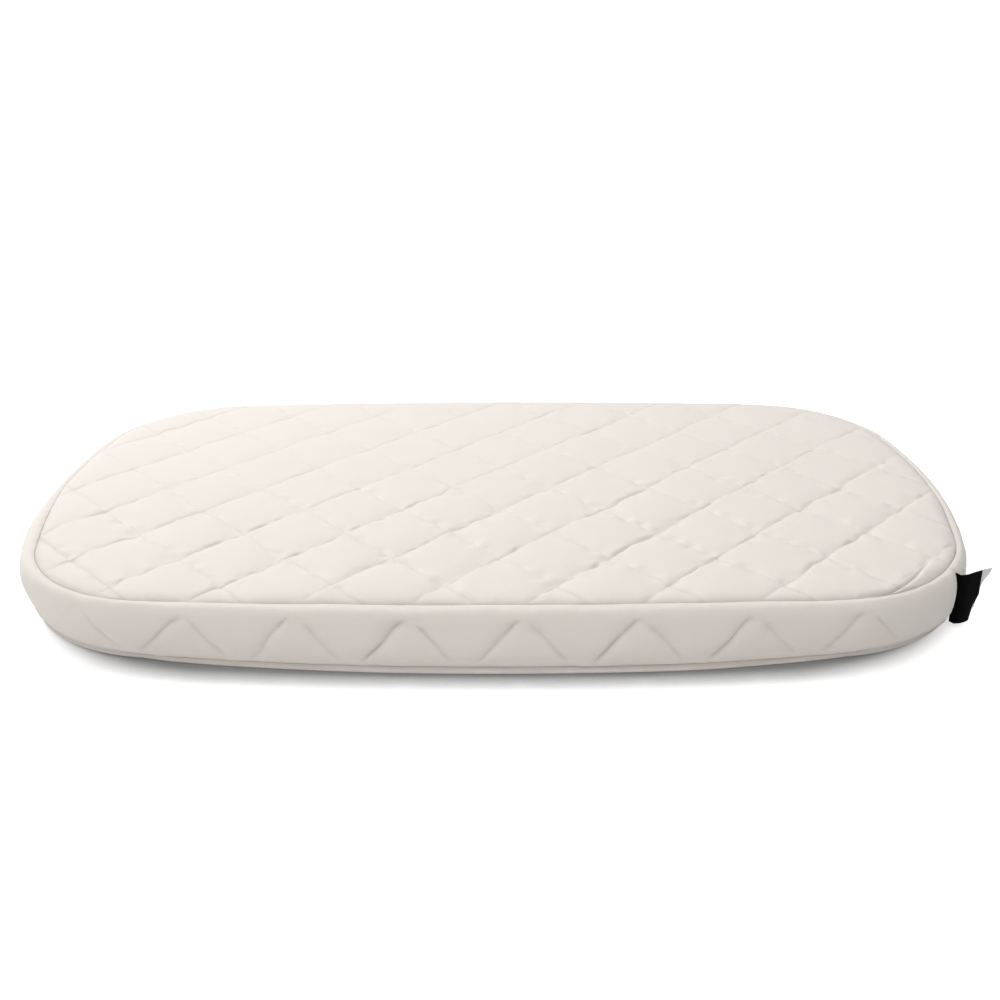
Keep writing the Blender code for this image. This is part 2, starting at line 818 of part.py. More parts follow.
def make_slider(material):
    """Front plate with flanges and back plate, joined by the wedge that runs between the coils."""
    wedge = SLIDER_WEDGE / 2
    inner = slider_half - SLIDER_FLANGE
    flange_inset = coil_back_inset
    back = back_plate_inset + SLIDER_PLATE
    half_section = [
        (plate_inset, slider_half),
        (flange_inset, slider_half),
        (flange_inset, inner),
        (plate_back_inset, inner),
        (plate_back_inset, wedge),
        (back_plate_inset, wedge),
        (back_plate_inset, slider_half),
        (back, slider_half),
    ]
    section = half_section + [(inset, -up) for inset, up in reversed(half_section)]
    places = [(-SLIDER_LENGTH / 2, inset, up) for inset, up in section]
    body = slider_prism("zip_slider_body", places, (SLIDER_LENGTH, 0, 0), material)
    inner_share, outer_share = BRIDGE_SHARES
    outer_half = BRIDGE_LENGTH / 2 * outer_share
    inner_half = BRIDGE_LENGTH / 2 * inner_share
    foot = plate_inset + SLIDER_PLATE / 2
    arch = [
        (-outer_half, foot),
        (-outer_half, bridge_inset - BRIDGE_BAR),
        (outer_half, bridge_inset - BRIDGE_BAR),
        (outer_half, foot),
        (inner_half, foot),
        (inner_half, bridge_inset),
        (-inner_half, bridge_inset),
        (-inner_half, foot),
    ]
    places = [(along, inset, -BRIDGE_WIDTH / 2) for along, inset in arch]
    join(body, slider_prism("bridge_shape", places, (0, 0, BRIDGE_WIDTH)))
    return body


def make_pull(material):
    """A flat tab whose eye leaves a crossbar under the slider's bridge."""
    half = PULL_WIDTH / 2
    bar = PULL_THICKNESS / 2
    tip = half / 2
    front = pull_inset - PULL_THICKNESS / 2
    shape = [
        (-bar, -half),
        (PULL_LENGTH - tip, -half),
        (PULL_LENGTH, -half + tip),
        (PULL_LENGTH, half - tip),
        (PULL_LENGTH - tip, half),
        (-bar, half),
    ]
    places = [(along, front, up) for along, up in shape]
    tab = slider_prism("zip_pull_tab", places, (0, PULL_THICKNESS, 0), material)
    eye_half = BRIDGE_WIDTH / 2 + GAP
    eye = [(bar, -eye_half), (PULL_EYE, -eye_half), (PULL_EYE, eye_half), (bar, eye_half)]
    places = [(along, front - OVERRUN, up) for along, up in eye]
    cut(tab, slider_prism("pull_eye", places, (0, PULL_THICKNESS + 2 * OVERRUN, 0)))
    bevel(tab, PULL_EDGE)
    return tab


def make_tape(name, side, material):
    frames = facet_frames(zip_start - TAPE_TAIL, zip_end + TAPE_TAIL)
    near = ZIP_HEIGHT + side * CHANNEL / 2
    far = ZIP_HEIGHT + side * tape_half
    return swept(name, frames, box_section(tape_inset, tape_back_inset, near, far), material, False)


def make_coil(name, side, material):
    """Half round rail that stands for one row of coil teeth, from stop to stop."""
    section = []
    for step in range(COIL_SIDES + 1):
        angle = math.pi * step / COIL_SIDES
        inset = coil_back_inset - COIL_DEPTH * math.sin(angle)
        across = CHANNEL / 2 + COIL_WIDTH * (1 - math.cos(angle)) / 2
        section.append((inset, ZIP_HEIGHT + side * across))
    return swept(name, facet_frames(zip_start, zip_end), section, material, False)


def make_stop(name, start, material):
    section = box_section(coil_inset, coil_back_inset, ZIP_HEIGHT - coil_half, ZIP_HEIGHT + coil_half)
    stop = swept(name, facet_frames(start, start + STOP_LENGTH), section, material, False)
    bevel(stop, SLIDER_EDGE)
    return stop


def zip_cutter(name, section, overhang):
    frames = facet_frames(zip_start - overhang, zip_end + overhang)
    return swept(name, frames, section, None, False)


def build():
    for old in list(bpy.data.objects):
        bpy.data.objects.remove(old)
    cream = plain_material("cream_knit", CREAM, 0.9)
    shade = plain_material("cream_underside", CREAM_SHADE, 0.9)
    fibre = plain_material("white_fibre", FIBRE_WHITE, 0.95)
    backing = plain_material("backing_cloth", BACKING_WHITE, 0.9)
    foam = plain_material("foam", FOAM_WHITE, 0.95)
    tape_cloth = plain_material("zip_tape", TAPE_CREAM, 0.8)
    coil_plastic = plain_material("zip_coil", COIL_CREAM, 0.45)
    metal = plain_material("zip_metal", METAL_GREY, 0.35, 1.0)
    black = plain_material("black_satin", LABEL_BLACK, 0.6)
    white = plain_material("white_satin", CARE_WHITE, 0.6)

    # Underside: a tray whose rolled rim is sewn to the border
    roll = [(BORDER_TUCK_BOTTOM + ROLL_REACH * reach, RIM_HEIGHT * up) for reach, up in ROLL_SHARES]
    tray = [*roll, (rim_inner_inset, RIM_HEIGHT), (rim_inner_inset, BOTTOM_FACE)]
    plate("bottom_panel_face", tray, shade, math.radians(40))
    allowance_inset = rim_inner_inset + GAP
    allowance_end = allowance_inset + SEAM_ALLOWANCE
    allowance = box_section(allowance_inset, allowance_end, bottom_fill_z, bottom_fill_z + BOTTOM_FILL)
    ring("bottom_seam_allowance", allowance, shade)
    layer("bottom_fibre_fill", allowance_end + GAP, bottom_fill_z, BOTTOM_FILL, fibre)
    layer("bottom_backing", allowance_inset, bottom_backing_z, BOTTOM_BACKING, backing)

    # Core
    eased_inset = foam_inset + FOAM_EASE
    core = [
        (eased_inset, foam_z),
        (foam_inset, foam_z + FOAM_EASE),
        (foam_inset, foam_top_z - FOAM_EASE),
        (eased_inset, foam_top_z),
    ]
    plate("foam_core", core, foam)

    # Top
    layer("top_backing", foam_inset, top_backing_z, TOP_BACKING, backing)
    allowance_end = panel_inset + SEAM_ALLOWANCE
    allowance = box_section(panel_inset, allowance_end, top_fill_z, top_fill_z + TOP_FILL)
    ring("top_seam_allowance", allowance, shade)
    layer("top_fibre_fill", allowance_end + GAP, top_fill_z, TOP_FILL, fibre)
    make_top_face(cream)

    # Border
    make_border_face(cream)
    fill = make_border_fill(fibre)
    backing_end = backing_inset + BORDER_BACKING
    ring("border_backing", box_section(backing_inset, backing_end, bottom_seam_z, foam_top_z), backing)

    # Zip, with room for its tapes behind the border's face
    tape_room = tape_half + GAP
    section = box_section(0, backing_inset - GAP / 2, ZIP_HEIGHT - tape_room, ZIP_HEIGHT + tape_room)
    cut(fill, zip_cutter("tape_room", section, TAPE_TAIL + GAP))
    make_tape("zip_tape_upper", 1, tape_cloth)
    make_tape("zip_tape_lower", -1, tape_cloth)
    make_coil("zip_coil_upper", 1, coil_plastic)
    make_coil("zip_coil_lower", -1, coil_plastic)
    make_stop("zip_stop_closed", zip_start - GAP - STOP_LENGTH, metal)
    make_stop("zip_stop_open", zip_end + GAP, metal)
    slide_axis = bpy.data.objects.new("zip_slide_axis", None)
    slide_axis.location = slide_axis_point
    bpy.context.scene.collection.objects.link(slide_axis)
    move_origin(make_slider(metal), slide_axis_point, slide_axis)
    move_origin(make_pull(metal), slider_place(0, pull_inset, 0), slide_axis)

    # Join: the allowance behind the face, a pocket for it in the fill, and the labels
    join_end = fill_inset + JOIN_THICKNESS
    low_z, high_z = inner_levels
    frames = [facet_frame(perimeter - JOIN_WIDTH / 2), join_frame, facet_frame(JOIN_WIDTH / 2)]
    section = box_section(fill_inset, join_end, low_z, high_z)
    swept("border_join_allowance", frames, section, shade, False)
    room = JOIN_WIDTH / 2 + GAP
    frames = [facet_frame(perimeter - room), join_frame, facet_frame(room)]
    section = box_section(fill_inset - OVERRUN, join_end + GAP, low_z - GAP, high_z + GAP)
    cut(fill, swept("join_pocket", frames, section, None, False))
    side = LABEL_THICKNESS / 2 + GAP + CARE_THICKNESS / 2
    path = label_path(LABEL_LENGTH, 0.0, LABEL_BEND)
    make_label("side_label", path, LABEL_THICKNESS, LABEL_ROOT_BOTTOM, LABEL_BOTTOM, black)
    path = label_path(CARE_LENGTH, side, LABEL_BEND - side)
    make_label("care_label", path, CARE_THICKNESS, CARE_BOTTOM, CARE_BOTTOM, white)


build()
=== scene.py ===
"""Dresses the cradle mattress: quilted cover, thread, labels, zip, filling and a small studio."""

import json
import math

import bmesh
import bpy
import numpy as np
from bpy.props import FloatProperty, FloatVectorProperty, PointerProperty
from mathutils import Matrix, Vector
from mathutils.geometry import delaunay_2d_cdt


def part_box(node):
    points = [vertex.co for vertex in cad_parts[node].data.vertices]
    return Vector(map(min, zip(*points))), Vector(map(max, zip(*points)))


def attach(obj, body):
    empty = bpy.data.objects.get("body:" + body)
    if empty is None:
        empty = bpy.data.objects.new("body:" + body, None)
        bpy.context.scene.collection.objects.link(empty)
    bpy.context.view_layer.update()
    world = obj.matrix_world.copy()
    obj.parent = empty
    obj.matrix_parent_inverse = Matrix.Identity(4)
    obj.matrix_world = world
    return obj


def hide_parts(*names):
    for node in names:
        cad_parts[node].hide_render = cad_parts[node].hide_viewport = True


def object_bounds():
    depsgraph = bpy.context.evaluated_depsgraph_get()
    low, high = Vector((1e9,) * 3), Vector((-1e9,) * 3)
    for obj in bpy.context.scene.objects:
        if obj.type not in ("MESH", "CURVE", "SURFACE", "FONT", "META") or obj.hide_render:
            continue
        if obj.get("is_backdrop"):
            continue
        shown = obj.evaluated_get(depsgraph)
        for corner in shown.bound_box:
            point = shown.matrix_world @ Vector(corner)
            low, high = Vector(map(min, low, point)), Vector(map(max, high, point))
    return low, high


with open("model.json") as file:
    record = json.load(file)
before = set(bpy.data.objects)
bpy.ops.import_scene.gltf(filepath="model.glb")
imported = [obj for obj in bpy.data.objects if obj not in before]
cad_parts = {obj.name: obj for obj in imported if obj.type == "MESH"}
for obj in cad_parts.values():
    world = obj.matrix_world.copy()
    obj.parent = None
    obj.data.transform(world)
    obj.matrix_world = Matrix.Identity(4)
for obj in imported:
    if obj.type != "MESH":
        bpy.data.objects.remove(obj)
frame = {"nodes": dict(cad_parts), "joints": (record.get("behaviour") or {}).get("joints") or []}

bl_info = {
    "name": "Cradle mattress",
    "version": (1, 0, 0),
    "blender": (4, 5, 0),
    "location": "3D View > Sidebar > Mattress",
    "description": "Builds a quilted cradle mattress with its zip, labels and filling",
    "category": "Object",
}

MM = 0.001
ROOT = "root"
SLIDER = "zip_slider"
PULL = "zip_pull"

# What the frame gives
cad_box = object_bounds()
border_low, border_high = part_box("border_quilted_face")
top_low, top_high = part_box("top_quilted_face")
rim_low, rim_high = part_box("bottom_panel_face")
coil_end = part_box("zip_coil_upper")[1].x
tape_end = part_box("zip_tape_upper")[1].x
label_low, label_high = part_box("side_label")
care_low, care_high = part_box("care_label")
joint_places = {joint["name"]: Vector(joint["pos_m"]) for joint in frame["joints"]}
zip_middle = joint_places["zip_pull_hinge"].z

# Border from its bottom seam to its top seam: share of its height, of the bottom tuck, of the top tuck
BORDER_SHARES = (
    (0.00, 1.00, 0.00),
    (0.10, 0.45, 0.00),
    (0.28, 0.10, 0.00),
    (0.50, 0.00, 0.00),
    (0.70, 0.00, 0.04),
    (0.84, 0.00, 0.14),
    (0.935, 0.00, 0.29),
    (0.99, 0.00, 0.50),
    (1.01, 0.00, 0.76),
    (1.00, 0.00, 1.00),
)
SHOULDER_POINT = 6
SIDE_RADIUS = 3.0
SEAM_GAP = 0.3 * MM
SEAM_LIFT = 0.8 * MM

# Rolled edge of the underside: share of its reach, share of its height
ROLL_SHARES = ((1.0, 0.0), (0.5, 0.03), (0.22, 0.15), (-0.05, 0.30), (-0.15, 0.50), (-0.1, 0.80), (0.0, 1.0))
ROLL_REACH = 3.5 * MM

# Top: the quilting's fading towards the back, and the fold at the front right corner
BACK_FADE = 0.60
BACK_START = -0.16
BACK_REACH = 0.24
BACK_SLANT = 0.15
CORNER_FOLD = (
    (0.2575, -0.2018),
    (0.2700, -0.1980),
    (0.2838, -0.1933),
    (0.3013, -0.1773),
    (0.3220, -0.1499),
)
FOLD_DEPTH = 2.0 * MM

# Top seam drawn in at the long sides and the left end, whose border bulges
SEAM_DRAW = 4.5 * MM
END_DRAW = 2.5 * MM
END_BULGE = 3.6 * MM
BULGE_MIDDLE = -0.080
BULGE_REACH = 0.065

# Slump of the lower edge: place along the front as share of the length, then how far
SLUMPS = (
    (-0.44, 0.0),
    (-0.34, 1.0 * MM),
    (-0.24, 4.0 * MM),
    (-0.12, 6.8 * MM),
    (0.0, 7.6 * MM),
    (0.12, 7.4 * MM),
    (0.20, 6.4 * MM),
    (0.27, 3.2 * MM),
    (0.34, 0.6 * MM),
    (0.42, 0.5 * MM),
    (0.50, 0.0),
)

# Tucks of the underside, each with its place and reach as shares of the length, and its depth
TUCKS = (
    (-0.43, 0.08, 15 * MM),
    (0.39, 0.055, 7 * MM),
)
BORDER_TUCK = 0.35

# Opening in front of the zip, and the border's inner wall
WINDOW_ROOM = 4.5 * MM
WINDOW_HALF = 6.0 * MM
PULL_SWEEP = 24 * MM
FOLD_RADIUS = 1.0 * MM
WALL_INSET = 4.0 * MM
WALL_LOW = 0.13
WALL_HIGH = 0.86

# Labels: how far they show, how much is sewn in, half the gap between two plies, lift of the free end
LABEL_SHOWN = 18.0 * MM
CARE_SHOWN = 27.4 * MM
LABEL_SEWN_IN = 3.6 * MM
LABEL_PLY = 0.30 * MM
LABEL_LIFT = 2.2 * MM

# Zip: insets from the widest line, distances up or down from its middle, and thicknesses
TAPE_INSET = 4.65 * MM
TAPE_NEAR, TAPE_FAR = 0.6 * MM, 12.6 * MM
TAPE_THICKNESS = 0.65 * MM
ZIP_INSET = 3.0 * MM
COIL_INSET = 3.1 * MM
COIL_NEAR, COIL_FAR = 0.60 * MM, 3.1 * MM
COIL_HALF = 0.58 * MM
COIL_PITCH = 1.4 * MM
FILAMENT = 0.30 * MM
COIL_SEAMS = (1.6 * MM, 2.7 * MM)
COIL_SEAM_INSET = 2.25 * MM
COIL_SEWING = (2.8 * MM, 2.3 * MM, 0.14 * MM)

# Mesh spacing beside the seams and along them, in the puffs and at the edges
BESIDE_SEAM = np.array((0.0, 0.9, 2.1, 4.0, 6.4)) * MM
ALONG_SEAM = 2.2 * MM
PUFF_SPACING = 4.3 * MM
EDGE_SPACING = 2.1 * MM
UNDERSIDE_SPACING = 2.6 * MM
BESIDE_FOLD = (0.0, 0.5, -0.5, 1.1, -1.1, 1.9, -1.9, 3.0, -3.0, 4.5, -4.5)
ALONG_FOLD = 1.2 * MM
FOLD_ROOM = 5.5 * MM
SEAM_ROOM = 1.1 * MM
FEWEST_PLACES = 12
STITCH_GAP = 0.6 * MM
WELD = 0.01 * MM
CLOTH_SHARP = math.radians(60)
METAL_SHARP = math.radians(35)

# Studio
SKY_TILT = 0.31
FLOOR_SEEN = 0.95
FLOOR_GLOW = 0.75
FLOOR_TONE = 0.90
# Shadow painted into the floor's colour: its reach, steepness, darkest level, where it has faded out towards
# the ends and how wide that fade is
SHADOW_REACH = 34 * MM
SHADOW_POWER = 1.6
SHADOW_DARKEST = 0.15
SHADOW_END = 0.355
SHADOW_FADE = 0.14
CAMERA_SENSOR = 36.0
CAMERA_LENS = 47.478
CAMERA_SHIFT = (0.00581, 0.0097)
CAMERA_ANGLES = (0.841, 23.9185, -0.4972)
CAMERA_TARGET = Vector((0, 0, 0.025))
CAMERA_DISTANCE = 1.1213
LAMP_TARGET = Vector((0, 0, 0.03))
# Lamps: direction in plan, elevation in degrees, distance and size
WINDOW_LIGHT = ((-0.60, 0.80), 34, 2.0, 0.8)
SOFT_LIGHT = ((-0.50, -0.66), 70, 2.2, 1.5)


def length_setting(name, description, default):
    return FloatProperty(name=name, description=description, unit="LENGTH", default=default)


def colour_setting(name, description, *default):
    return FloatVectorProperty(name=name, description=description, subtype="COLOR", default=default)


class MattressShape(bpy.types.PropertyGroup):
    """Outline and seams of the mattress."""

    length: length_setting("Length", "Longest extent", 2 * max(border_high.x, -border_low.x))
    width: length_setting("Width", "Width across the middle", 2 * max(border_high.y, -border_low.y))
    side_radius: length_setting("Side radius", "Bow of the long sides", SIDE_RADIUS)
    end_radius: length_setting("End radius", "Bow of the ends", 0.530)
    corner_radius: length_setting("Corner radius", "Round of the corners", 0.127)
    join_angle: FloatProperty(
        name="Join angle", description="Direction in which the border's join faces", unit="ROTATION",
        subtype="ANGLE", default=math.radians(-35),
    )
    seam_height: length_setting("Top seam", "Height of the top seam", top_low.z + SEAM_LIFT)
    crown: length_setting(
        "Crown", "Rise of the puffs above the top seam", top_high.z - top_low.z - SEAM_LIFT
    )
    tuck_top: length_setting(
        "Top tuck", "How far the border draws in to the top seam", border_high.x - top_high.x - SEAM_GAP
    )
    tuck_bottom: length_setting(
        "Bottom tuck", "How far the border draws in to the bottom seam", 6.5 * MM
    )
    unevenness: length_setting("Unevenness", "How far seams and cloth stray from true", 0.6 * MM)


class QuiltShape(bpy.types.PropertyGroup):
    """Diamond quilting of the cover."""

    period: length_setting("Diamond width", "Width of a diamond", 80.3 * MM)
    slope: FloatProperty(name="Slope", description="Rise of the seams over their run", default=1.10)
    depth: length_setting("Depth", "How deep the seams pull the top in", 3.5 * MM)
    border_depth: length_setting("Border depth", "How deep the seams pull the border in", 2.7 * MM)
    reach: length_setting("Reach", "How far from a seam its puff still rises", 26 * MM)
    crease: length_setting("Crease", "Width of the sharp part of a seam", 2.1 * MM)
    pucker: length_setting("Pucker", "Height of the puckers beside a seam", 1.2 * MM)
    pucker_length: length_setting("Pucker length", "Distance between puckers", 8.5 * MM)
    wander: length_setting("Wander", "How far the sewing strays sideways", 1.5 * MM)
    up_start: length_setting("Rising seams", "Where a rising seam crosses the middle line", -25.5 * MM)
    down_start: length_setting("Falling seams", "Where a falling seam crosses the middle line", 39.0 * MM)
    border_start: length_setting(
        "Border chevron", "A chevron's top, along the front from its middle", -57.2 * MM
    )
    stitch: length_setting("Stitch", "Length of a stitch", 3.0 * MM)
    thread: length_setting("Thread", "Thickness of the thread", 0.34 * MM)


class ClothColours(bpy.types.PropertyGroup):
    """Colours of the mattress."""

    cream: colour_setting("Cream", "Cover cloth", 0.862, 0.804, 0.745)
    # Shade: a darker copy of the cream, painted shade for the underside's strip in the shadow below the
    # lower edge
    shade: colour_setting("Shade", "Underside cloth", 0.800, 0.745, 0.690)
    thread: colour_setting("Thread", "Quilting thread", 0.850, 0.792, 0.732)
    label: colour_setting("Label", "Woven side label", 0.003, 0.003, 0.0033)
    care: colour_setting("Care label", "Thin care label", 0.86, 0.86, 0.85)
    tape: colour_setting("Tape", "Zip tape", 0.78, 0.74, 0.68)
    coil: colour_setting("Coil", "Zip coil", 0.74, 0.70, 0.64)
    metal: colour_setting("Metal", "Zip slider", 0.55, 0.54, 0.52)
    foam: colour_setting("Foam", "Foam core", 0.90, 0.87, 0.76)
    fibre: colour_setting("Fibre", "Fibre fill", 0.88, 0.88, 0.87)
    backing: colour_setting("Backing", "Backing cloth", 0.80, 0.80, 0.79)


class StudioLight(bpy.types.PropertyGroup):
    """Lamps and surroundings."""

    key: FloatProperty(name="Key", description="Power of the window light", unit="POWER", default=18.0)
    fill: FloatProperty(name="Fill", description="Power of the soft light", unit="POWER", default=16.0)
    sky: FloatProperty(name="Sky", description="Strength of the light from all round", default=0.48)


# Shapes in numbers

def smooth_curve(points, steps):
    """A curve through the points, with this many places to each stretch."""
    points = np.asarray(points, float)
    ends = [2 * points[0] - points[1], *points, 2 * points[-1] - points[-2]]
    found = []
    for before, here, there, after in zip(ends, ends[1:], ends[2:], ends[3:]):
        for t in np.arange(steps) / steps:
            bend = 2 * before - 5 * here + 4 * there - after
            turn = 3 * here - before - 3 * there + after
            found.append(here + 0.5 * t * (there - before + t * (bend + t * turn)))
    return np.array([*found, points[-1]])


def lengths_along(points):
    """Distance from the first point to each, along the line through them."""
    steps = np.linalg.norm(np.diff(points, axis=0), axis=1)
    return np.concatenate([[0.0], np.cumsum(steps)])


def unit(vectors):
    """Vectors, one to a row, made 1 long."""
    return vectors / np.linalg.norm(vectors, axis=-1)[..., None]


def fade(value):
    """From 0 to 1 with a soft start and end."""
    value = np.clip(value, 0.0, 1.0)
    return value * value * (3 - 2 * value)


def near(distance, reach, power=1.0):
    """1 at no distance, falling off towards 0 beyond the reach."""
    return np.exp(-((distance / reach) ** power))


def beyond(x, y, first, last, low, high):
    """Distance from a rectangle, 0 inside it."""
    aside = np.maximum(np.maximum(first - x, x - last), 0)
    above = np.maximum(np.maximum(low - y, y - high), 0)
    return np.hypot(aside, above)


class Unevenness:
    """Smooth unevenness from -1 to 1 over a plane, the same each time."""

    SIZE = 128

    def __init__(self, seed):
        self.table = np.random.default_rng(seed).uniform(-1, 1, (self.SIZE, self.SIZE))

    def __call__(self, x, y=0.0, size=1.0, shift=0.0):
        x, y = np.broadcast_arrays(np.asarray(x, float) / size + shift, np.asarray(y, float) / size)
        column, row = np.floor(x).astype(int), np.floor(y).astype(int)
        across, up = fade(x - column), fade(y - row)
        column, row = column % self.SIZE, row % self.SIZE
        next_column, next_row = (column + 1) % self.SIZE, (row + 1) % self.SIZE
        low = self.table[row, column] * (1 - across) + self.table[row, next_column] * across
        high = self.table[next_row, column] * (1 - across) + self.table[next_row, next_column] * across
        return low * (1 - up) + high * up


class Outline:
    """The mattress from above: bowed sides and ends with round corners, anticlockwise from the join."""

    def __init__(self, shape):
        side = np.array((0.0, shape.width / 2 - shape.side_radius))
        end = np.array((shape.length / 2 - shape.end_radius, 0.0))
        to_side = shape.side_radius - shape.corner_radius
        to_end = shape.end_radius - shape.corner_radius
        between = end - side
        apart = np.hypot(*between)
        along = (to_side**2 - to_end**2 + apart**2) / (2 * apart)
        way = between / apart
        corner = side + way * along + np.array((way[1], -way[0])) * math.sqrt(to_side**2 - along**2)
        steep = math.atan2(*(corner - side)[::-1])
        flat = math.atan2(*(corner - end)[::-1])
        left, front, across = np.array((-1, 1)), np.array((1, -1)), np.array((-1, -1))
        half, turn, join = math.pi, 2 * math.pi, shape.join_angle
        radius = shape.corner_radius
        self.arcs = []
        self.length = 0.0
        for centre, size, first, last in (
            (corner * front, radius, join, -flat),
            (end, shape.end_radius, -flat, flat),
            (corner, radius, flat, steep),
            (side, shape.side_radius, steep, half - steep),
            (corner * left, radius, half - steep, half - flat),
            (end * left, shape.end_radius, half - flat, half + flat),
            (corner * across, radius, half + flat, half + steep),
            (side * front, shape.side_radius, half + steep, turn - steep),
            (corner * front, radius, turn - steep, turn + join),
        ):
            self.arcs.append((centre, size, first, last, self.length))
            self.length += size * (last - first)
        self.back_middle = self.arcs[3][4] + shape.side_radius * (half / 2 - steep)
        self.front_middle = self.arcs[7][4] + shape.side_radius * (half / 2 - steep)
        self.side_radius = shape.side_radius

    def spaced(self, spacing, ends=0):
        """Even distances along, once round, and the first place again at the end if asked."""
        count = round(self.length / spacing)
        return np.arange(count + ends) * self.length / count

    def frames(self, along):
        """Points on the widest line and the directions straight out from it."""
        along = np.asarray(along, float) % self.length
        points = np.zeros(along.shape + (2,))
        outs = np.zeros(along.shape + (2,))
        for centre, size, first, last, start in self.arcs:
            here = along >= start
            angle = first + (along[here] - start) / size
            out = np.stack([np.cos(angle), np.sin(angle)], -1)
            points[here] = centre + out * size
            outs[here] = out
        return points, outs

    def places(self, along, inset, z):
        """Places in space, from distances along, insets from the widest line and heights."""
        points, outs = self.frames(along)
        flat = points - outs * np.asarray(inset, float)[..., None]
        return np.concatenate([flat, np.broadcast_to(z, flat.shape[:-1])[..., None]], -1)

    def locate(self, x, y):
        """Inset from the widest line, and distance along it, of places inside the outline."""
        least = np.full(np.shape(x), np.inf)
        along = np.zeros(np.shape(x))
        for centre, size, first, last, start in self.arcs:
            across, up = x - centre[0], y - centre[1]
            turned = (np.arctan2(up, across) - first) % (2 * math.pi)
            inset = size - np.hypot(across, up)
            better = (turned <= last - first + 1e-6) & (inset < least)
            least[better] = inset[better]
            along[better] = start + turned[better] * size
        return least, along

    def back_along(self, x, inset):
        """Distance along of a place on the back side, from its x and its inset."""
        return self.back_middle - self.side_radius * math.asin(x / (self.side_radius - inset))


class Quilting:
    """Two families of seams that cross in diamonds, and what they do to the cloth."""

    def __init__(self, quilt, up_start, down_start, seed, reach, broad, sharp, faint):
        self.quilt = quilt
        self.reach = reach
        self.broad = broad
        self.sharp = sharp
        self.faint = faint
        self.up_start = up_start
        self.down_start = down_start
        self.side = quilt.period / 2 * math.hypot(1, quilt.slope)
        self.spacing = quilt.period * quilt.slope / math.hypot(1, quilt.slope)
        self.sideways = Unevenness(seed)
        self.lengthways = Unevenness(seed + 1)
        self.puckers = Unevenness(seed + 2)

    def strays(self, x, y):
        """How far the sewing has strayed from its true place there."""
        wide, close, share = 42 * MM, 11 * MM, 0.65
        dx, dy = (
            (table(x, y, wide) + share * table(x, y, close, 50)) * self.quilt.wander
            for table in (self.sideways, self.lengthways)
        )
        return dx, dy

    def numbers(self, x, y):
        """Counts of rising seams and of falling seams, from the first of each."""
        run = y / self.quilt.slope
        return (x - run - self.up_start) / self.quilt.period, (x + run - self.down_start) / self.quilt.period

    def spans(self, x_range, y_range):
        """Lowest and highest count of each family over an area."""
        corners = [self.numbers(x, y) for x in x_range for y in y_range]
        return np.floor(np.min(corners, axis=0)), np.ceil(np.max(corners, axis=0))

    def place(self, rising, falling):
        """Where the seams of these numbers cross."""
        period = self.quilt.period
        x = (self.up_start + self.down_start + (rising + falling) * period) / 2
        y = self.quilt.slope * (self.down_start - self.up_start + (falling - rising) * period) / 2
        dx, dy = self.strays(x, y)
        return x + dx, y + dy

    def relief(self, x, y, sewn):
        """How much the seams pull the cloth in, from 0 to 1, the puckers beside them and masks of where they
        crease, which feed the painted crease shade.
        """
        crease_width = self.quilt.crease
        pucker_row, pucker_away, most_puckers, most_pull = 16 * MM, 2.6 * MM, 0.9, 1.15
        dx, dy = self.strays(x, y)
        rising, falling = self.numbers(x - dx, y - dy)
        slack = np.ones(np.shape(x))
        puckers = np.zeros(np.shape(x))
        painted_crease_shade = []
        pulled = 1 + 0.40 * self.sideways(x, y, 70 * MM, 20)
        for number, other, sharp, share in (
            (rising, falling, self.sharp, sewn[0]), (falling, rising + 40, self.faint, sewn[1])
        ):
            nearest = np.round(number)
            off = (number - nearest) * self.spacing
            distance = np.abs(off)
            puff = np.clip(1 - distance / self.reach, 0, 1) ** 2
            # Mask of this seam's crease, for the painted shade that darkens the cloth there
            painted_crease_shade.append(near(distance, 0.7 * crease_width, 1.3) * pulled * share)
            slack *= 1 - pulled * share * (self.broad * puff + sharp * near(distance, crease_width, 1.3))
            row = nearest * 3.7 + off / pucker_row + np.where(off > 0, 19.0, 0.0)
            ripple = self.puckers(other * self.side / self.quilt.pucker_length, row)
            beside = distance / pucker_away
            puckers += ripple * beside * np.exp(1 - beside) * np.minimum(share, most_puckers)
        return np.minimum(1 - slack, most_pull), puckers, painted_crease_shade

    def mesh_places(self, x_range, y_range):
        """Places for the mesh, close together beside the seams and wider apart in the puffs."""
        side = self.side
        beside = np.concatenate([BESIDE_SEAM, side - BESIDE_SEAM[:0:-1]])
        reach = BESIDE_SEAM[-1]
        along, puff = (
            np.linspace(reach, side - reach, round((side - 2 * reach) / spacing) + 1)[1:-1]
            for spacing in (ALONG_SEAM, PUFF_SPACING)
        )
        cell = [np.stack(np.meshgrid(a, b), -1).reshape(-1, 2) for a, b in (
            (beside, beside), (beside, along), (along, beside), (puff, puff)
        )]
        cell = np.concatenate(cell) / side
        low, high = self.spans(x_range, y_range)
        cells = np.stack(np.meshgrid(np.arange(low[0], high[0]), np.arange(low[1], high[1])), -1)
        both = (cells.reshape(-1, 1, 2) + cell).reshape(-1, 2)
        return self.place(both[:, 0], both[:, 1])

    def seam_lines(self, x_range, y_range):
        """Closely spaced places along every seam that crosses the area, one array to a seam."""
        low, high = self.spans(x_range, y_range)
        lines = []
        for family in (0, 1):
            other = 1 - family
            steps = np.arange(low[other], high[other], 0.01)
            for number in np.arange(low[family], high[family] + 1):
                pair = [steps, steps]
                pair[family] = np.full(steps.shape, number)
                lines.append(np.stack(self.place(*pair), -1))
        return lines


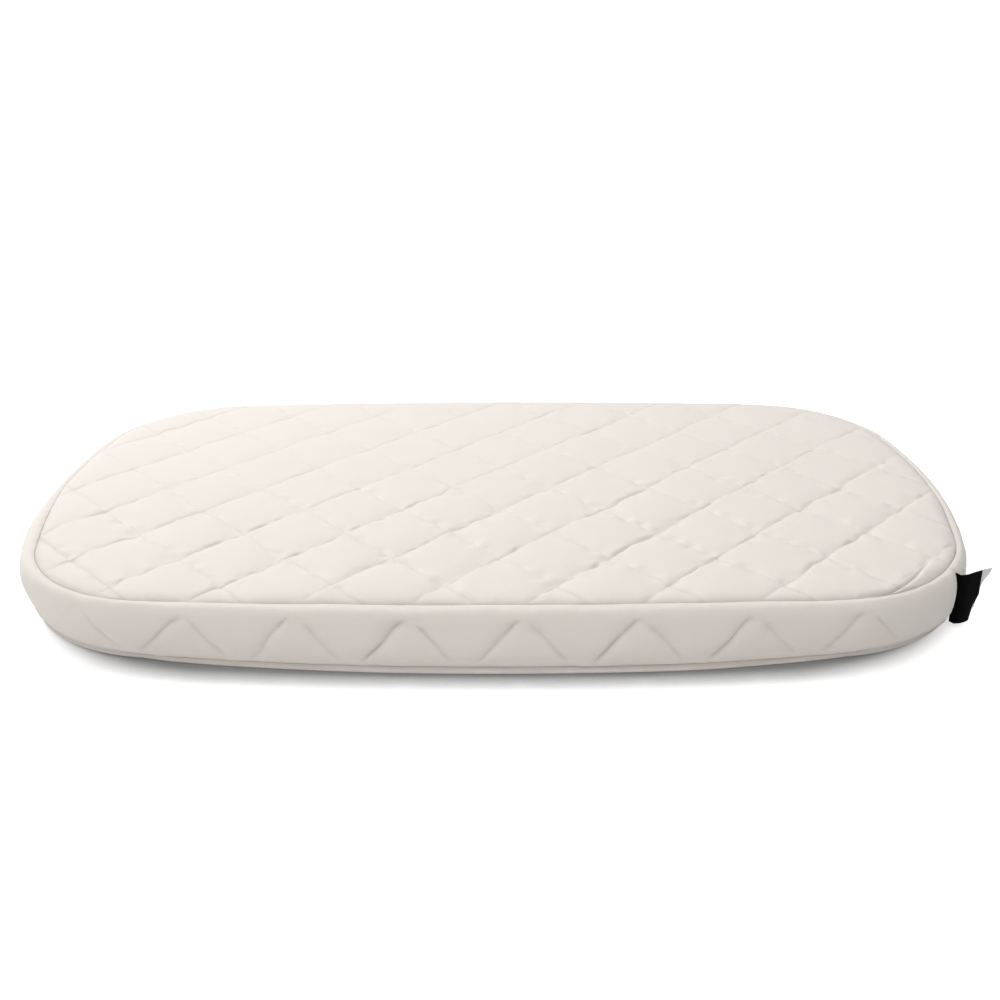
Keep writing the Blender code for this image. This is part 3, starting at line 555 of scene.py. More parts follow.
class TopSurface:
    """Height of the quilted top over the whole of its panel."""

    def __init__(self, shape, quilt):
        self.shape = shape
        self.quilt = quilt
        self.outline = Outline(shape)
        self.seam_inset = shape.tuck_top + SEAM_GAP
        self.quilting = Quilting(
            quilt, quilt.up_start, quilt.down_start, seed=3, reach=quilt.reach, broad=0.40, sharp=0.24,
            faint=0.12,
        )
        self.swells = Unevenness(11)
        self.dents = Unevenness(12)
        self.gathers = Unevenness(13)
        self.fold = smooth_curve(CORNER_FOLD, 12)
        self.fold_lengths = lengths_along(self.fold)
        self.fold_insets = self.outline.locate(self.fold[:, 0], self.fold[:, 1])[0]

    def from_seam(self, x, y):
        """Inset from the widest line, distance in from the top seam, and how far that seam rises there."""
        inset, along = self.outline.locate(x, y)
        inward, rise = seam_sway(self.shape, self.outline, along)
        return inset, inset - self.seam_inset - inward, rise

    def fold_distance(self, x, y):
        """Distance to the corner's fold, share of the way along it, and how open it is there."""
        least = np.full(np.shape(x), np.inf)
        share = np.zeros(np.shape(x))
        for i, (here, there) in enumerate(zip(self.fold, self.fold[1:])):
            way = there - here
            length = np.hypot(*way)
            t = np.clip(((x - here[0]) * way[0] + (y - here[1]) * way[1]) / length**2, 0, 1)
            away = np.hypot(x - here[0] - t * way[0], y - here[1] - t * way[1])
            better = away < least
            least[better] = away[better]
            share[better] = (self.fold_lengths[i] + t[better] * length) / self.fold_lengths[-1]
        share = np.clip(share, 0.0, 1.0)
        return least, share, np.sin(math.pi * share) ** 0.6

    def sewn(self, x, y):
        """Share of each family's depth: less towards the back, more for falling seams at the front left."""
        share = 1 - BACK_FADE * fade((y - BACK_START - BACK_SLANT * x) / BACK_REACH)
        left = fade((-0.23 - x) / 0.07) * fade((-0.03 - y) / 0.06)
        return share, share * (1 + left)

    def painted_crease_shade(self, x, y):
        """Painted shade, from 0 to 1: darkening in the quilting seams' crease lines, along the top seam
        (most at the front) and in the corner's fold.
        """
        depth = np.maximum(self.from_seam(x, y)[1], 0.0)
        rising, falling = self.quilting.relief(x, y, self.sewn(x, y))[2]
        away, _, open_part = self.fold_distance(x, y)
        # Painted shade in the seams' crease lines, more on falling seams near the top seam
        deep = 0.24 * rising + (0.04 + 0.5 * near(depth, 22 * MM)) * falling
        # Painted shade along the top seam, strongest at the front
        seam = 0.22 * near(depth, 4.5 * MM) + 0.55 * near(depth, 1.3 * MM)
        seam = seam * (0.25 + 0.75 * fade(-y / 0.14))
        # Painted shade in the corner's fold, added to the rest
        return np.clip(deep + 0.85 * open_part * near(away, 1.0 * MM, 1.4) + seam, 0, 1)

    def height(self, x, y):
        """Height of the cloth above the ground."""
        shape = self.shape
        inset, depth, rise = self.from_seam(x, y)
        depth = np.maximum(depth, 0.0)
        edge = 1 - near(depth, 3.4 * MM)
        dome = 1 - (1 - np.clip(depth / (45 * MM), 0, 1)) ** 4
        swell = 0.60 * edge + 0.40 * dome
        pull, puckers = self.quilting.relief(x, y, self.sewn(x, y))[:2]
        uneven = shape.unevenness
        waves = uneven * 0.7 * self.swells(x, y, 95 * MM)
        waves += uneven * 0.35 * self.dents(x, y, 27 * MM)
        gather = self.gathers(x, y, 7 * MM) * near(depth, 4.5 * MM) * edge
        height = shape.crown - self.quilt.depth * pull + self.quilt.pucker * puckers * (0.4 + 0.6 * dome)
        height = swell * (height + waves) + 1.8 * uneven * gather
        away, share, open_part = self.fold_distance(x, y)
        fold_inset = np.interp(share, np.linspace(0, 1, len(self.fold)), self.fold_insets)
        seam_side = fade((fold_inset - inset) / (1.2 * MM) + 0.5)
        height -= FOLD_DEPTH * open_part * near(away, 1.1 * MM, 1.4)
        raised = 0.55 * seam_side * near(away - 4.0 * MM, 3.0 * MM, 2)
        raised += 0.45 * (1 - seam_side) * near(away - 3.5 * MM, 4.0 * MM, 2)
        height += FOLD_DEPTH * open_part * raised
        return shape.seam_height + height + rise * near(depth, 12 * MM)


sway_table = Unevenness(21)


def seam_sway(shape, outline, along):
    """How far the top seam is drawn inwards, most at the middle of the long sides, and up."""
    points, outs = outline.frames(along)
    x, y = points[..., 0], points[..., 1]
    middle = fade(1.25 - np.abs(x) / (0.38 * shape.length)) * np.abs(outs[..., 1]) ** 4
    inward = 0.8 * shape.unevenness * sway_table(x, y, 38 * MM) + SEAM_DRAW * middle
    inward = inward + END_DRAW * left_end(points, outs)
    return inward, 0.6 * shape.unevenness * sway_table(x, y, 38 * MM, 40)


def left_end(points, outs):
    """1 where the front of the left end bulges, fading to 0 all round."""
    return near(points[..., 1] - BULGE_MIDDLE, BULGE_REACH, 2) * fade(-outs[..., 0] / 0.8)


def slump(shape, outline, along):
    """How far the lower edge has slumped outwards: most at the middle of the front."""
    points, outs = outline.frames(along)
    table = smooth_curve(SLUMPS, 8)
    far = np.interp(points[..., 0], table[:, 0] * shape.length, table[:, 1])
    return far * np.maximum(-outs[..., 1], 0.0) ** 3


def corner_tuck(shape, outline, along):
    """How far the underside tucks in below the front corners: most at the left."""
    points = outline.frames(along)[0]
    share = points[..., 0] / shape.length
    tucked = sum(depth * near(share - middle, reach, 2) for middle, reach, depth in TUCKS)
    return tucked * fade(-points[..., 1] / (50 * MM))


def zip_window(outline):
    """First and last distance along, lowest and highest z, of the opening in front of the zip."""
    reach = outline.back_along(coil_end, ZIP_INSET) - WINDOW_ROOM
    return reach, 2 * outline.back_middle - reach, zip_middle - WINDOW_HALF, zip_middle + WINDOW_HALF


class BorderSurface:
    """The border's cloth, laid out flat as distance along and distance up, and wrapped round."""

    def __init__(self, shape, quilt):
        self.shape = shape
        self.quilt = quilt
        self.outline = Outline(shape)
        low = border_low.z
        rise = shape.seam_height - low
        points = [(b * shape.tuck_bottom + t * shape.tuck_top, low + h * rise) for h, b, t in BORDER_SHARES]
        corner_ups = lengths_along(points)
        self.curve = smooth_curve(points, 10)
        self.ups = lengths_along(self.curve)
        self.height = self.ups[-1]
        self.shoulder = corner_ups[SHOULDER_POINT] * self.height / corner_ups[-1]
        self.slopes = np.gradient(self.curve, self.ups, axis=0)
        start = self.outline.front_middle + quilt.border_start
        run = self.shoulder / quilt.slope
        self.quilting = Quilting(
            quilt, start - run, start + run, seed=31, reach=0.55 * quilt.reach, broad=0.36, sharp=0.52,
            faint=0.38,
        )
        self.waves = Unevenness(41)
        self.gathers = Unevenness(42)
        self.window = zip_window(self.outline)

    def z_at(self, up):
        return np.interp(up, self.ups, self.curve[:, 1])

    def up_at(self, z):
        return np.interp(z, self.curve[:-10, 1], self.ups[:-10])

    def to_join(self, along):
        half = self.outline.length / 2
        return np.abs((along + half) % self.outline.length - half)

    def sewn(self, along, up):
        """Share of each family's depth there: none at the seams, the ends, the zip and the join."""
        x = self.outline.frames(along)[0][..., 0]
        sewn = fade((up - 2.5 * MM) / (9 * MM))
        sewn = sewn * fade((0.42 * self.shape.length - np.abs(x)) / (50 * MM))
        sewn = sewn * fade(beyond(along, self.z_at(up), *self.window) / (14 * MM))
        sewn = sewn * fade(self.to_join(along) / (12 * MM))
        below = self.shoulder - up
        return [sewn * fade((below - start) / (5.5 * MM)) for start in (2.0 * MM, 6.0 * MM)]

    def painted_crease_shade(self, along, up):
        """Painted shade, from 0 to 1: darkening in the chevrons' crease lines, along the top seam (most at
        the front), along the bottom seam and at the join.
        """
        rising, falling = self.quilting.relief(along, up, self.sewn(along, up))[2]
        y = self.outline.frames(along)[0][..., 1]
        # Painted shade in the chevrons' crease lines
        deep = 0.55 * rising + 0.35 * falling
        # Painted shade along the top seam, strongest at the front, then along the bottom seam and at the
        # join
        seam = 0.5 * (0.4 + 0.6 * fade(-y / 0.12)) * near(self.height - up, 1.0 * MM)
        deep = deep + seam + 0.45 * near(up, 1.4 * MM)
        return np.clip(deep + 0.5 * near(self.to_join(along), 1.0 * MM), 0, 1)

    def relief(self, along, up):
        """How far the cloth stands out from its plain profile."""
        shape, quilt = self.shape, self.quilt
        pull, puckers = self.quilting.relief(along, up, self.sewn(along, up))[:2]
        first, last, low, high = self.window
        clear = beyond(along, self.z_at(up), first - PULL_SWEEP, last + PULL_SWEEP, low, high)
        points, outs = self.outline.frames(along)
        x, y = points[..., 0], points[..., 1]
        out = -quilt.border_depth * pull + 0.7 * quilt.pucker * puckers
        bulge = np.sin(math.pi * np.clip(up / self.height, 0, 1))
        leaning = (x + 0.7 * up, y + 1.1 * up)
        waves = self.waves(*leaning, 60 * MM) + 0.4 * self.waves(*leaning, 18 * MM, 60)
        out += shape.unevenness * waves * bulge * fade(clear / (10 * MM))
        below = self.height - up
        gather = near(below, 4.0 * MM) * fade(below / (1.5 * MM)) - near(up, 4.5 * MM) * fade(up / MM)
        out += 1.3 * shape.unevenness * (self.gathers(x, y, 7 * MM) * gather)
        out += END_BULGE * left_end(points, outs) * bulge ** 0.7
        to_join = self.to_join(along)
        out -= 1.3 * MM * near(to_join, 1.6 * MM) * bulge
        out += 0.5 * MM * near(to_join - 6 * MM, 3.5 * MM, 2) * bulge
        return out

    def places(self, along, up):
        """Places in space of the cloth."""
        shape, outline = self.shape, self.outline
        out_part = np.interp(up, self.ups, self.slopes[:, 1])
        up_part = np.interp(up, self.ups, self.slopes[:, 0])
        size = np.hypot(out_part, up_part)
        out = self.relief(along, up)
        inward, rise = seam_sway(shape, outline, along)
        below = self.height - up
        inset = np.interp(up, self.ups, self.curve[:, 0]) - out * out_part / size
        inset = inset + inward * fade(1 - below / (8 * MM))
        inset = inset - slump(shape, outline, along) * fade(1 - up / (0.8 * self.height))
        inset = inset + BORDER_TUCK * corner_tuck(shape, outline, along) * fade(1 - up / (0.6 * self.height))
        z = self.z_at(up) + out * up_part / size + rise * near(below, 12 * MM)
        return outline.places(along, inset, z)


# Meshes

def plane_triangles(points, loops):
    """Triangles between plane points, inside the first loop of point numbers and outside the rest."""
    vectors = [Vector(point) for point in points]
    flat, _, faces, _, _, owners = delaunay_2d_cdt(vectors, [], loops, 0, 1e-7)
    kept = [face for face, owner in zip(faces, owners) if list(owner) == [0]]
    return np.array([place[:] for place in flat]), np.array(kept)


def loops_of(*rings):
    """Point numbers of closed rings that follow one another."""
    ends = np.cumsum([len(ring) for ring in rings])
    return [list(range(end - len(ring), end)) for ring, end in zip(rings, ends)]


def bands(rows, count, closed=True):
    """Quads between rows of this many places each."""
    here = np.arange(count if closed else count - 1)
    there = (here + 1) % count
    low = np.arange(rows - 1)[:, None] * count
    return np.stack([here + low, there + low, there + low + count, here + low + count], -1).reshape(-1, 4)


def strip(*rows, closed=True):
    """Rows of as many places with quads between them, as one array of places and one of faces."""
    return np.concatenate(rows), bands(len(rows), len(rows[0]), closed)


def show(name, mesh, sharp, body, material):
    """An object of the mesh, riding on its body."""
    mesh.shade_smooth()
    mesh.set_sharp_from_angle(angle=sharp)
    mesh.materials.append(material)
    piece = bpy.data.objects.new(name, mesh)
    bpy.context.scene.collection.objects.link(piece)
    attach(piece, body)
    return piece


def make_piece(name, parts, material, painted_crease_shade=None):
    """One mesh object of parts, each an array of places, one of faces and its cloth coordinates, with
    painted crease shade on the first part if a function for it is given.
    """
    places, faces, cloth = [], [], []
    done = 0
    for part in parts:
        numbers = part[1].tolist() if isinstance(part[1], np.ndarray) else part[1]
        faces += [[number + done for number in face] for face in numbers]
        places.append(part[0])
        cloth.append(part[2] if len(part) > 2 else part[0][:, :2])
        done += len(part[0])
    places = np.concatenate(places)
    cloth = np.concatenate(cloth)
    mesh = bpy.data.meshes.new(name)
    mesh.from_pydata(places.tolist(), [], faces)
    layer = mesh.uv_layers.new(name="cloth")
    corners = np.zeros(len(mesh.loops), np.int32)
    mesh.loops.foreach_get("vertex_index", corners)
    layer.data.foreach_set("uv", cloth[corners].astype(np.float32).ravel())
    # Painted shade for the creases, one value to a corner, from the first part's cloth coordinates
    if painted_crease_shade:
        shown = np.zeros(len(places))
        count = len(parts[0][0])
        shown[:count] = painted_crease_shade(cloth[:count, 0], cloth[:count, 1])
        deep = mesh.attributes.new("crease", "FLOAT", "CORNER")
        deep.data.foreach_set("value", shown[corners].astype(np.float32))
    bm = bmesh.new()
    bm.from_mesh(mesh)
    bmesh.ops.remove_doubles(bm, verts=bm.verts, dist=WELD)
    bmesh.ops.dissolve_degenerate(bm, edges=bm.edges, dist=WELD / 10)
    bmesh.ops.recalc_face_normals(bm, faces=bm.faces)
    if bm.calc_volume(signed=True) < 0:
        bmesh.ops.reverse_faces(bm, faces=bm.faces)
    bm.to_mesh(mesh)
    bm.free()
    return show(name, mesh, CLOTH_SHARP, ROOT, material)


def metal_piece(name, bm, body, material):
    """One metal object from a bmesh, riding on its body."""
    bmesh.ops.recalc_face_normals(bm, faces=bm.faces)
    mesh = bpy.data.meshes.new(name)
    bm.to_mesh(mesh)
    bm.free()
    return show(name, mesh, METAL_SHARP, body, material)


def stitches(path, pitch, length, radius):
    """Spindles of thread laid along a path of closely spaced places, as places and faces."""
    path = np.asarray(path)
    runs = lengths_along(path)
    count = int((runs[-1] - length) / pitch)
    if count < 1:
        return np.zeros((0, 3)), np.zeros((0, 4), int)
    starts = (runs[-1] - count * pitch) / 2 + np.arange(count) * pitch
    shares = np.array((0.0, 0.12, 0.5, 0.88, 1.0))
    widths = np.array((0.35, 0.85, 1.0, 0.85, 0.35)) * radius
    sinks = np.array((-0.9, -0.1, 0.25, -0.1, -0.9)) * radius
    sides = 5
    at = starts[:, None] + shares * length
    middles = np.stack([np.interp(at, runs, path[:, i]) for i in range(3)], -1)
    ways = unit(middles[:, -1] - middles[:, 0])
    rises = thread_rise(middles[:, 2], ways)
    asides = np.cross(ways, rises)
    middles = middles + rises[:, None] * sinks[:, None]
    turns = 2 * math.pi * np.arange(sides) / sides
    rings = rises[:, None, None] * np.sin(turns)[:, None] + asides[:, None, None] * np.cos(turns)[:, None]
    rings = middles[:, :, None] + rings * widths[:, None, None]
    per = len(shares) * sides
    firsts = np.arange(count) * per
    faces = (bands(len(shares), sides)[None] + firsts[:, None, None]).reshape(-1, 4).tolist()
    for first in firsts.tolist():
        faces.append([first + i for i in reversed(range(sides))])
        faces.append([first + per - sides + i for i in range(sides)])
    return rings.reshape(-1, 3), faces


def thread_rise(middles, ways):
    """Directions off the cloth for stitches: straight up on the top, outwards on the border."""
    outward = unit(np.stack([middles[:, 0] / 0.7, middles[:, 1] * 2.2, np.zeros(len(middles))], -1))
    rises = np.where(middles[:, 2:] > top_low.z, np.array((0.0, 0.0, 1.0)), outward)
    rises -= ways * np.sum(rises * ways, axis=1)[:, None]
    return unit(rises)


def ribbon(grid, thickness):
    """A thin closed sheet about a grid of places, as places, faces and cloth coordinates."""
    grid = np.asarray(grid)
    rows, columns = grid.shape[:2]
    normals = unit(np.cross(np.gradient(grid, axis=0), np.gradient(grid, axis=1)))
    sides = [grid + normals * thickness / 2, grid - normals * thickness / 2]
    places = np.concatenate([side.reshape(-1, 3) for side in sides])
    number = np.arange(rows * columns).reshape(rows, columns)
    quads = np.stack([number[:-1, :-1], number[1:, :-1], number[1:, 1:], number[:-1, 1:]], -1).reshape(-1, 4)
    faces = quads.tolist() + (quads[:, ::-1] + rows * columns).tolist()
    rim = [*number[0, :-1], *number[:-1, -1], *number[-1, :0:-1], *number[:0:-1, 0]]
    for here, there in zip(rim, [*rim[1:], rim[0]]):
        faces.append([int(here), int(there), int(there) + rows * columns, int(here) + rows * columns])
    cloth = np.stack(np.meshgrid(lengths_along(grid[0]), lengths_along(grid[:, 0])), -1).reshape(-1, 2)
    return places, faces, np.concatenate([cloth, cloth])


def bridge(bm, *loops):
    """Quads between loops of as many vertices."""
    for here, there in zip(loops, loops[1:]):
        for i in range(len(here)):
            j = (i + 1) % len(here)
            bm.faces.new((here[i], here[j], there[j], there[i]))


# Finishes

class Value:
    """A number in a shader, on which Python's operators add Math nodes."""

    def __init__(self, nodes, socket):
        self.nodes = nodes
        self.socket = socket

    def math(self, operation, *others):
        node = self.nodes.node("ShaderNodeMath", {"operation": operation}, self, *others)
        return Value(self.nodes, node.outputs[0])

    def wave(self, pitch):
        """A sine wave over it, from -1 to 1."""
        return (self * (1 / pitch) * (2 * math.pi)).math("SINE")

    def __add__(self, other):
        return self.math("ADD", other)

    def __sub__(self, other):
        return self.math("SUBTRACT", other)

    def __mul__(self, other):
        return self.math("MULTIPLY", other)

    def __rsub__(self, other):
        return (self * -1.0) + other

    def __abs__(self):
        return self.math("ABSOLUTE")

    __radd__ = __add__
    __rmul__ = __mul__


class Nodes:
    """A node tree, and the nodes that are added to it."""

    def __init__(self, tree):
        self.tree = tree

    def plug(self, value, socket):
        """Links a value or a socket to an input, or sets the input."""
        if isinstance(value, Value):
            value = value.socket
        if isinstance(value, bpy.types.NodeSocket):
            self.tree.links.new(value, socket)
        else:
            socket.default_value = value

    def node(self, kind, settings, *values, **named):
        """Adds a node of a type with its settings, and the values or links of its sockets."""
        node = self.tree.nodes.new(kind)
        for key, value in settings.items():
            setattr(node, key, value)
        for key, value in [*enumerate(values), *named.items()]:
            self.plug(value, node.inputs[key])
        return node

    def world(self):
        """Places in space, in metres."""
        return self.node("ShaderNodeTexCoord", {}).outputs["Object"]

    def noise(self, vector, size, detail=3.0, rough=0.5):
        """Noise from 0 to 1 with blotches of this size."""
        node = self.node(
            "ShaderNodeTexNoise", {}, Vector=vector, Scale=1 / size, Detail=detail, Roughness=rough
        )
        return Value(self, node.outputs[0])

    def mix(self, share, first, second):
        """A mix of two colours, each a socket or four numbers."""
        node = self.node("ShaderNodeMix", {"data_type": "RGBA"}, share)
        self.plug(first, node.inputs[6])
        self.plug(second, node.inputs[7])
        return node.outputs[2]

    def seen(self):
        """1 for rays that show the thing itself: from the camera, mirrored or through glass."""
        path = self.node("ShaderNodeLightPath", {})
        rays = [Value(self, path.outputs[f"Is {kind} Ray"]) for kind in ("Camera", "Glossy", "Transmission")]
        return rays[0].math("MAXIMUM", rays[1]).math("MAXIMUM", rays[2])


class Finish(Nodes):
    """A procedural material: its nodes, and what they feed."""

    def __init__(self, name, roughness, metallic=0.0, **constants):
        self.material = bpy.data.materials.new(name)
        self.material.use_nodes = True
        super().__init__(self.material.node_tree)
        self.shader = self.tree.nodes["Principled BSDF"]
        self.set(Roughness=roughness, Metallic=metallic)
        self.set(**constants)

    def set(self, **inputs):
        """Feeds the shader's inputs, named with _ for a space."""
        for key, value in inputs.items():
            self.plug(value, self.shader.inputs[key.replace("_", " ")])

    def cloth(self):
        """Distances along and up the cloth, in metres."""
        uv = self.node("ShaderNodeUVMap", {"uv_map": "cloth"})
        parts = self.node("ShaderNodeSeparateXYZ", {}, uv.outputs["UV"])
        return uv.outputs["UV"], Value(self, parts.outputs["X"]), Value(self, parts.outputs["Y"])

    def closed(self, colour, roughness, height, depth):
        """The finished material, with fine relief: a height from 0 to 1 times a depth in metres."""
        self.set(Base_Color=colour, Roughness=roughness)
        bump = self.node("ShaderNodeBump", {}, Strength=1.0, Distance=depth, Height=height)
        self.set(Normal=bump.outputs["Normal"])
        return self.material

    def toned(self, tone, colour, dark, light):
        """The colour, varied from a darker to a lighter one."""
        return self.mix(tone, lighter(colour, dark), lighter(colour, light))


def lighter(colour, share):
    return [*(min(1.0, part * share) for part in colour), 1.0]


def knit(name, colour, stitch=1.0 * MM):
    """Fine jersey: columns of small V shaped stitches with a soft, slightly uneven face, darkened by painted
    shade in the creases where the mesh carries the crease attribute.
    """
    finish = Finish(name, 0.92, Sheen_Weight=0.22, Sheen_Roughness=0.5)
    vector, along, up = finish.cloth()
    lean = abs((along * (1 / stitch)).math("FRACT") - 0.5)
    row = (up * (1.25 / stitch) + lean * 1.1) * (2 * math.pi)
    loops = row.math("SINE") * 0.5 + 0.5
    wale = 1.0 - lean * 2.0
    fuzz = finish.noise(vector, 0.35 * MM, 2.0)
    broad = finish.noise(finish.world(), 60 * MM, 2.0)
    slub = finish.noise(vector, 4 * MM, 4.0, 0.6)
    tint = finish.toned(broad * 0.5 + slub * 0.35 + loops * 0.15, colour, 0.975, 1.02)
    # Painted shade: the colour darkens towards 72 % of itself where the crease attribute is high
    crease = finish.node("ShaderNodeAttribute", {"attribute_name": "crease"})
    shade = finish.mix(crease.outputs["Fac"], tint, lighter(colour, 0.72))
    return finish.closed(shade, 0.88 + slub * 0.08, loops * 0.45 + wale * 0.35 + fuzz * 0.35, 0.10 * MM)


def thread_finish(name, colour):
    """Twisted thread: fine slanting ply lines."""
    finish = Finish(name, 0.6, Sheen_Weight=0.2)
    vector = finish.world()
    twist = finish.node(
        "ShaderNodeTexWave", {"wave_type": "BANDS", "bands_direction": "DIAGONAL"},
        Vector=vector, Scale=0.5 / (0.25 * MM), Distortion=1.5,
    )
    tone = finish.noise(vector, 0.5 * MM, 2.0)
    shade = finish.toned(tone, colour, 0.92, 1.04)
    return finish.closed(shade, 0.55 + tone * 0.15, twist.outputs[1], 0.05 * MM)


def woven(name, colour):
    """Woven tape of crossing threads, with a twill's slant."""
    finish = Finish(name, 0.8, Sheen_Weight=0.2)
    vector, along, up = finish.cloth()
    over = (along + up * 0.6).wave(0.5 * MM)
    height = over * 0.25 + up.wave(0.45 * MM) * 0.25 + 0.5
    tone = finish.noise(vector, 1.2 * MM, 3.0)
    shade = finish.toned(tone * 0.6 + height * 0.4, colour, 0.86, 1.1)
    return finish.closed(shade, 0.75 + tone * 0.1, height, 0.07 * MM)


def satin(name, colour, roughness, specular):
    """Label satin: close weft ribs across the ribbon with a few slubs."""
    finish = Finish(name, roughness, Specular_IOR_Level=specular)
    vector, along, up = finish.cloth()
    ribs = up.wave(0.22 * MM) * 0.5 + 0.5
    ends = along.wave(0.35 * MM) * 0.5 + 0.5
    slub = finish.noise(vector, 0.8 * MM, 4.0, 0.6)
    height = ribs * 0.5 + ends * 0.2 + slub * 0.3
    pale = [*(part * 1.05 + 0.001 for part in colour), 1.0]
    shade = finish.mix(height * 0.5 + slub * 0.5, lighter(colour, 0.85), pale)
    return finish.closed(shade, roughness - 0.08 + slub * 0.16, height, 0.05 * MM)


def fibrous(name, colour, size, depth):
    """Loose or felted fibres."""
    finish = Finish(name, 0.95, Sheen_Weight=0.3)
    vector = finish.world()
    strands = finish.noise(vector, size, 6.0, 0.7)
    tufts = finish.noise(vector, size * 7, 3.0)
    shade = finish.toned(strands * 0.6 + tufts * 0.4, colour, 0.93, 1.05)
    return finish.closed(shade, 0.85 + strands * 0.1, strands * 0.7 + tufts * 0.3, depth)


def foamed(name, colour):
    """Open-cell foam: small round pores."""
    finish = Finish(name, 0.95)
    vector = finish.world()
    cells = finish.node("ShaderNodeTexVoronoi", {"feature": "F1"}, Vector=vector, Scale=1 / (0.9 * MM))
    pores = Value(finish, cells.outputs["Distance"])
    broad = finish.noise(vector, 12 * MM, 3.0)
    shade = finish.toned(pores * 0.6 + broad * 0.4, colour, 0.88, 1.04)
    return finish.closed(shade, 0.9 + pores * 0.08, pores, 0.25 * MM)


def plated(name, colour):
    """Nickel plate with fine brushing and slight wear."""
    finish = Finish(name, 0.3, 1.0)
    vector = finish.world()
    stretched = finish.node("ShaderNodeMapping", {}, Vector=vector, Scale=(1.0, 1.0, 14.0))
    brushed = finish.noise(stretched.outputs["Vector"], 0.6 * MM, 4.0)
    wear = finish.noise(vector, 2.5 * MM, 4.0, 0.6)
    shade = finish.toned(wear, colour, 0.9, 1.12)
    return finish.closed(shade, 0.22 + wear * 0.14 + brushed * 0.08, brushed * 0.6 + wear * 0.4, 0.02 * MM)


def moulded(name, colour):
    """Nylon filament: smooth with faint draw marks."""
    finish = Finish(name, 0.42)
    vector = finish.world()
    marks = finish.noise(vector, 0.5 * MM, 3.0)
    broad = finish.noise(vector, 9 * MM, 2.0)
    shade = finish.toned(broad * 0.5 + marks * 0.5, colour, 0.93, 1.05)
    return finish.closed(shade, 0.36 + marks * 0.12, marks, 0.02 * MM)


# Pieces

def settings(context):
    """The shape, the quilting and the colours that are set."""
    scene = context.scene
    return scene.mattress_shape, scene.mattress_quilt, scene.mattress_colours


def rectangle(spread, levels):
    """Places round a rectangle, anticlockwise: spread along its lower edge, at levels up its sides."""
    sides = levels[1:-1]
    return np.concatenate([
        np.column_stack([spread, np.full(len(spread), levels[0])]),
        np.column_stack([np.full(len(sides), spread[-1]), sides]),
        np.column_stack([spread[::-1], np.full(len(spread), levels[-1])]),
        np.column_stack([np.full(len(sides), spread[0]), sides[::-1]]),
    ])


class DressTop(bpy.types.Operator):
    """Quilted top panel with puffs, puckers and the fold at its corner"""

    bl_idname = "mattress.dress_top"
    bl_label = "Quilted top"

    def execute(self, context):
        shape, quilt, colours = settings(context)
        surface = TopSurface(shape, quilt)
        outline = surface.outline
        alongs = outline.spaced(EDGE_SPACING)
        sway = seam_sway(shape, outline, alongs)[0]
        insets = (surface.seam_inset + depth + sway for depth in (0.0, SEAM_ROOM / 2))
        edge, beside = (outline.places(alongs, inset, 0.0)[:, :2] for inset in insets)
        half_length, half_width = shape.length / 2, shape.width / 2
        x, y = surface.quilting.mesh_places((-half_length, half_length), (-half_width, half_width))
        keep = (surface.from_seam(x, y)[1] > SEAM_ROOM) & (surface.fold_distance(x, y)[0] > FOLD_ROOM)
        steps = np.arange(0, surface.fold_lengths[-1], ALONG_FOLD)
        middle = np.stack([np.interp(steps, surface.fold_lengths, surface.fold[:, i]) for i in (0, 1)], -1)
        ways = unit(np.gradient(middle, axis=0))
        asides = np.stack([-ways[:, 1], ways[:, 0]], -1)
        points = [edge, beside, np.stack([x[keep], y[keep]], -1)]
        points += [middle + asides * off * MM for off in BESIDE_FOLD]
        flat, faces = plane_triangles(np.concatenate(points), loops_of(edge))
        cloth = np.column_stack([flat, surface.height(flat[:, 0], flat[:, 1])])
        rim = np.column_stack([edge, surface.height(edge[:, 0], edge[:, 1])])
        under = np.column_stack([edge, np.full(len(edge), top_low.z)])
        parts = [(cloth, faces, flat), strip(rim, under), (under, loops_of(under), edge)]
        cream = knit("cream_jersey_top", colours.cream)
        top = make_piece("top_cover", parts, cream, surface.painted_crease_shade)
        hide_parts("top_quilted_face")
        return {"FINISHED"}


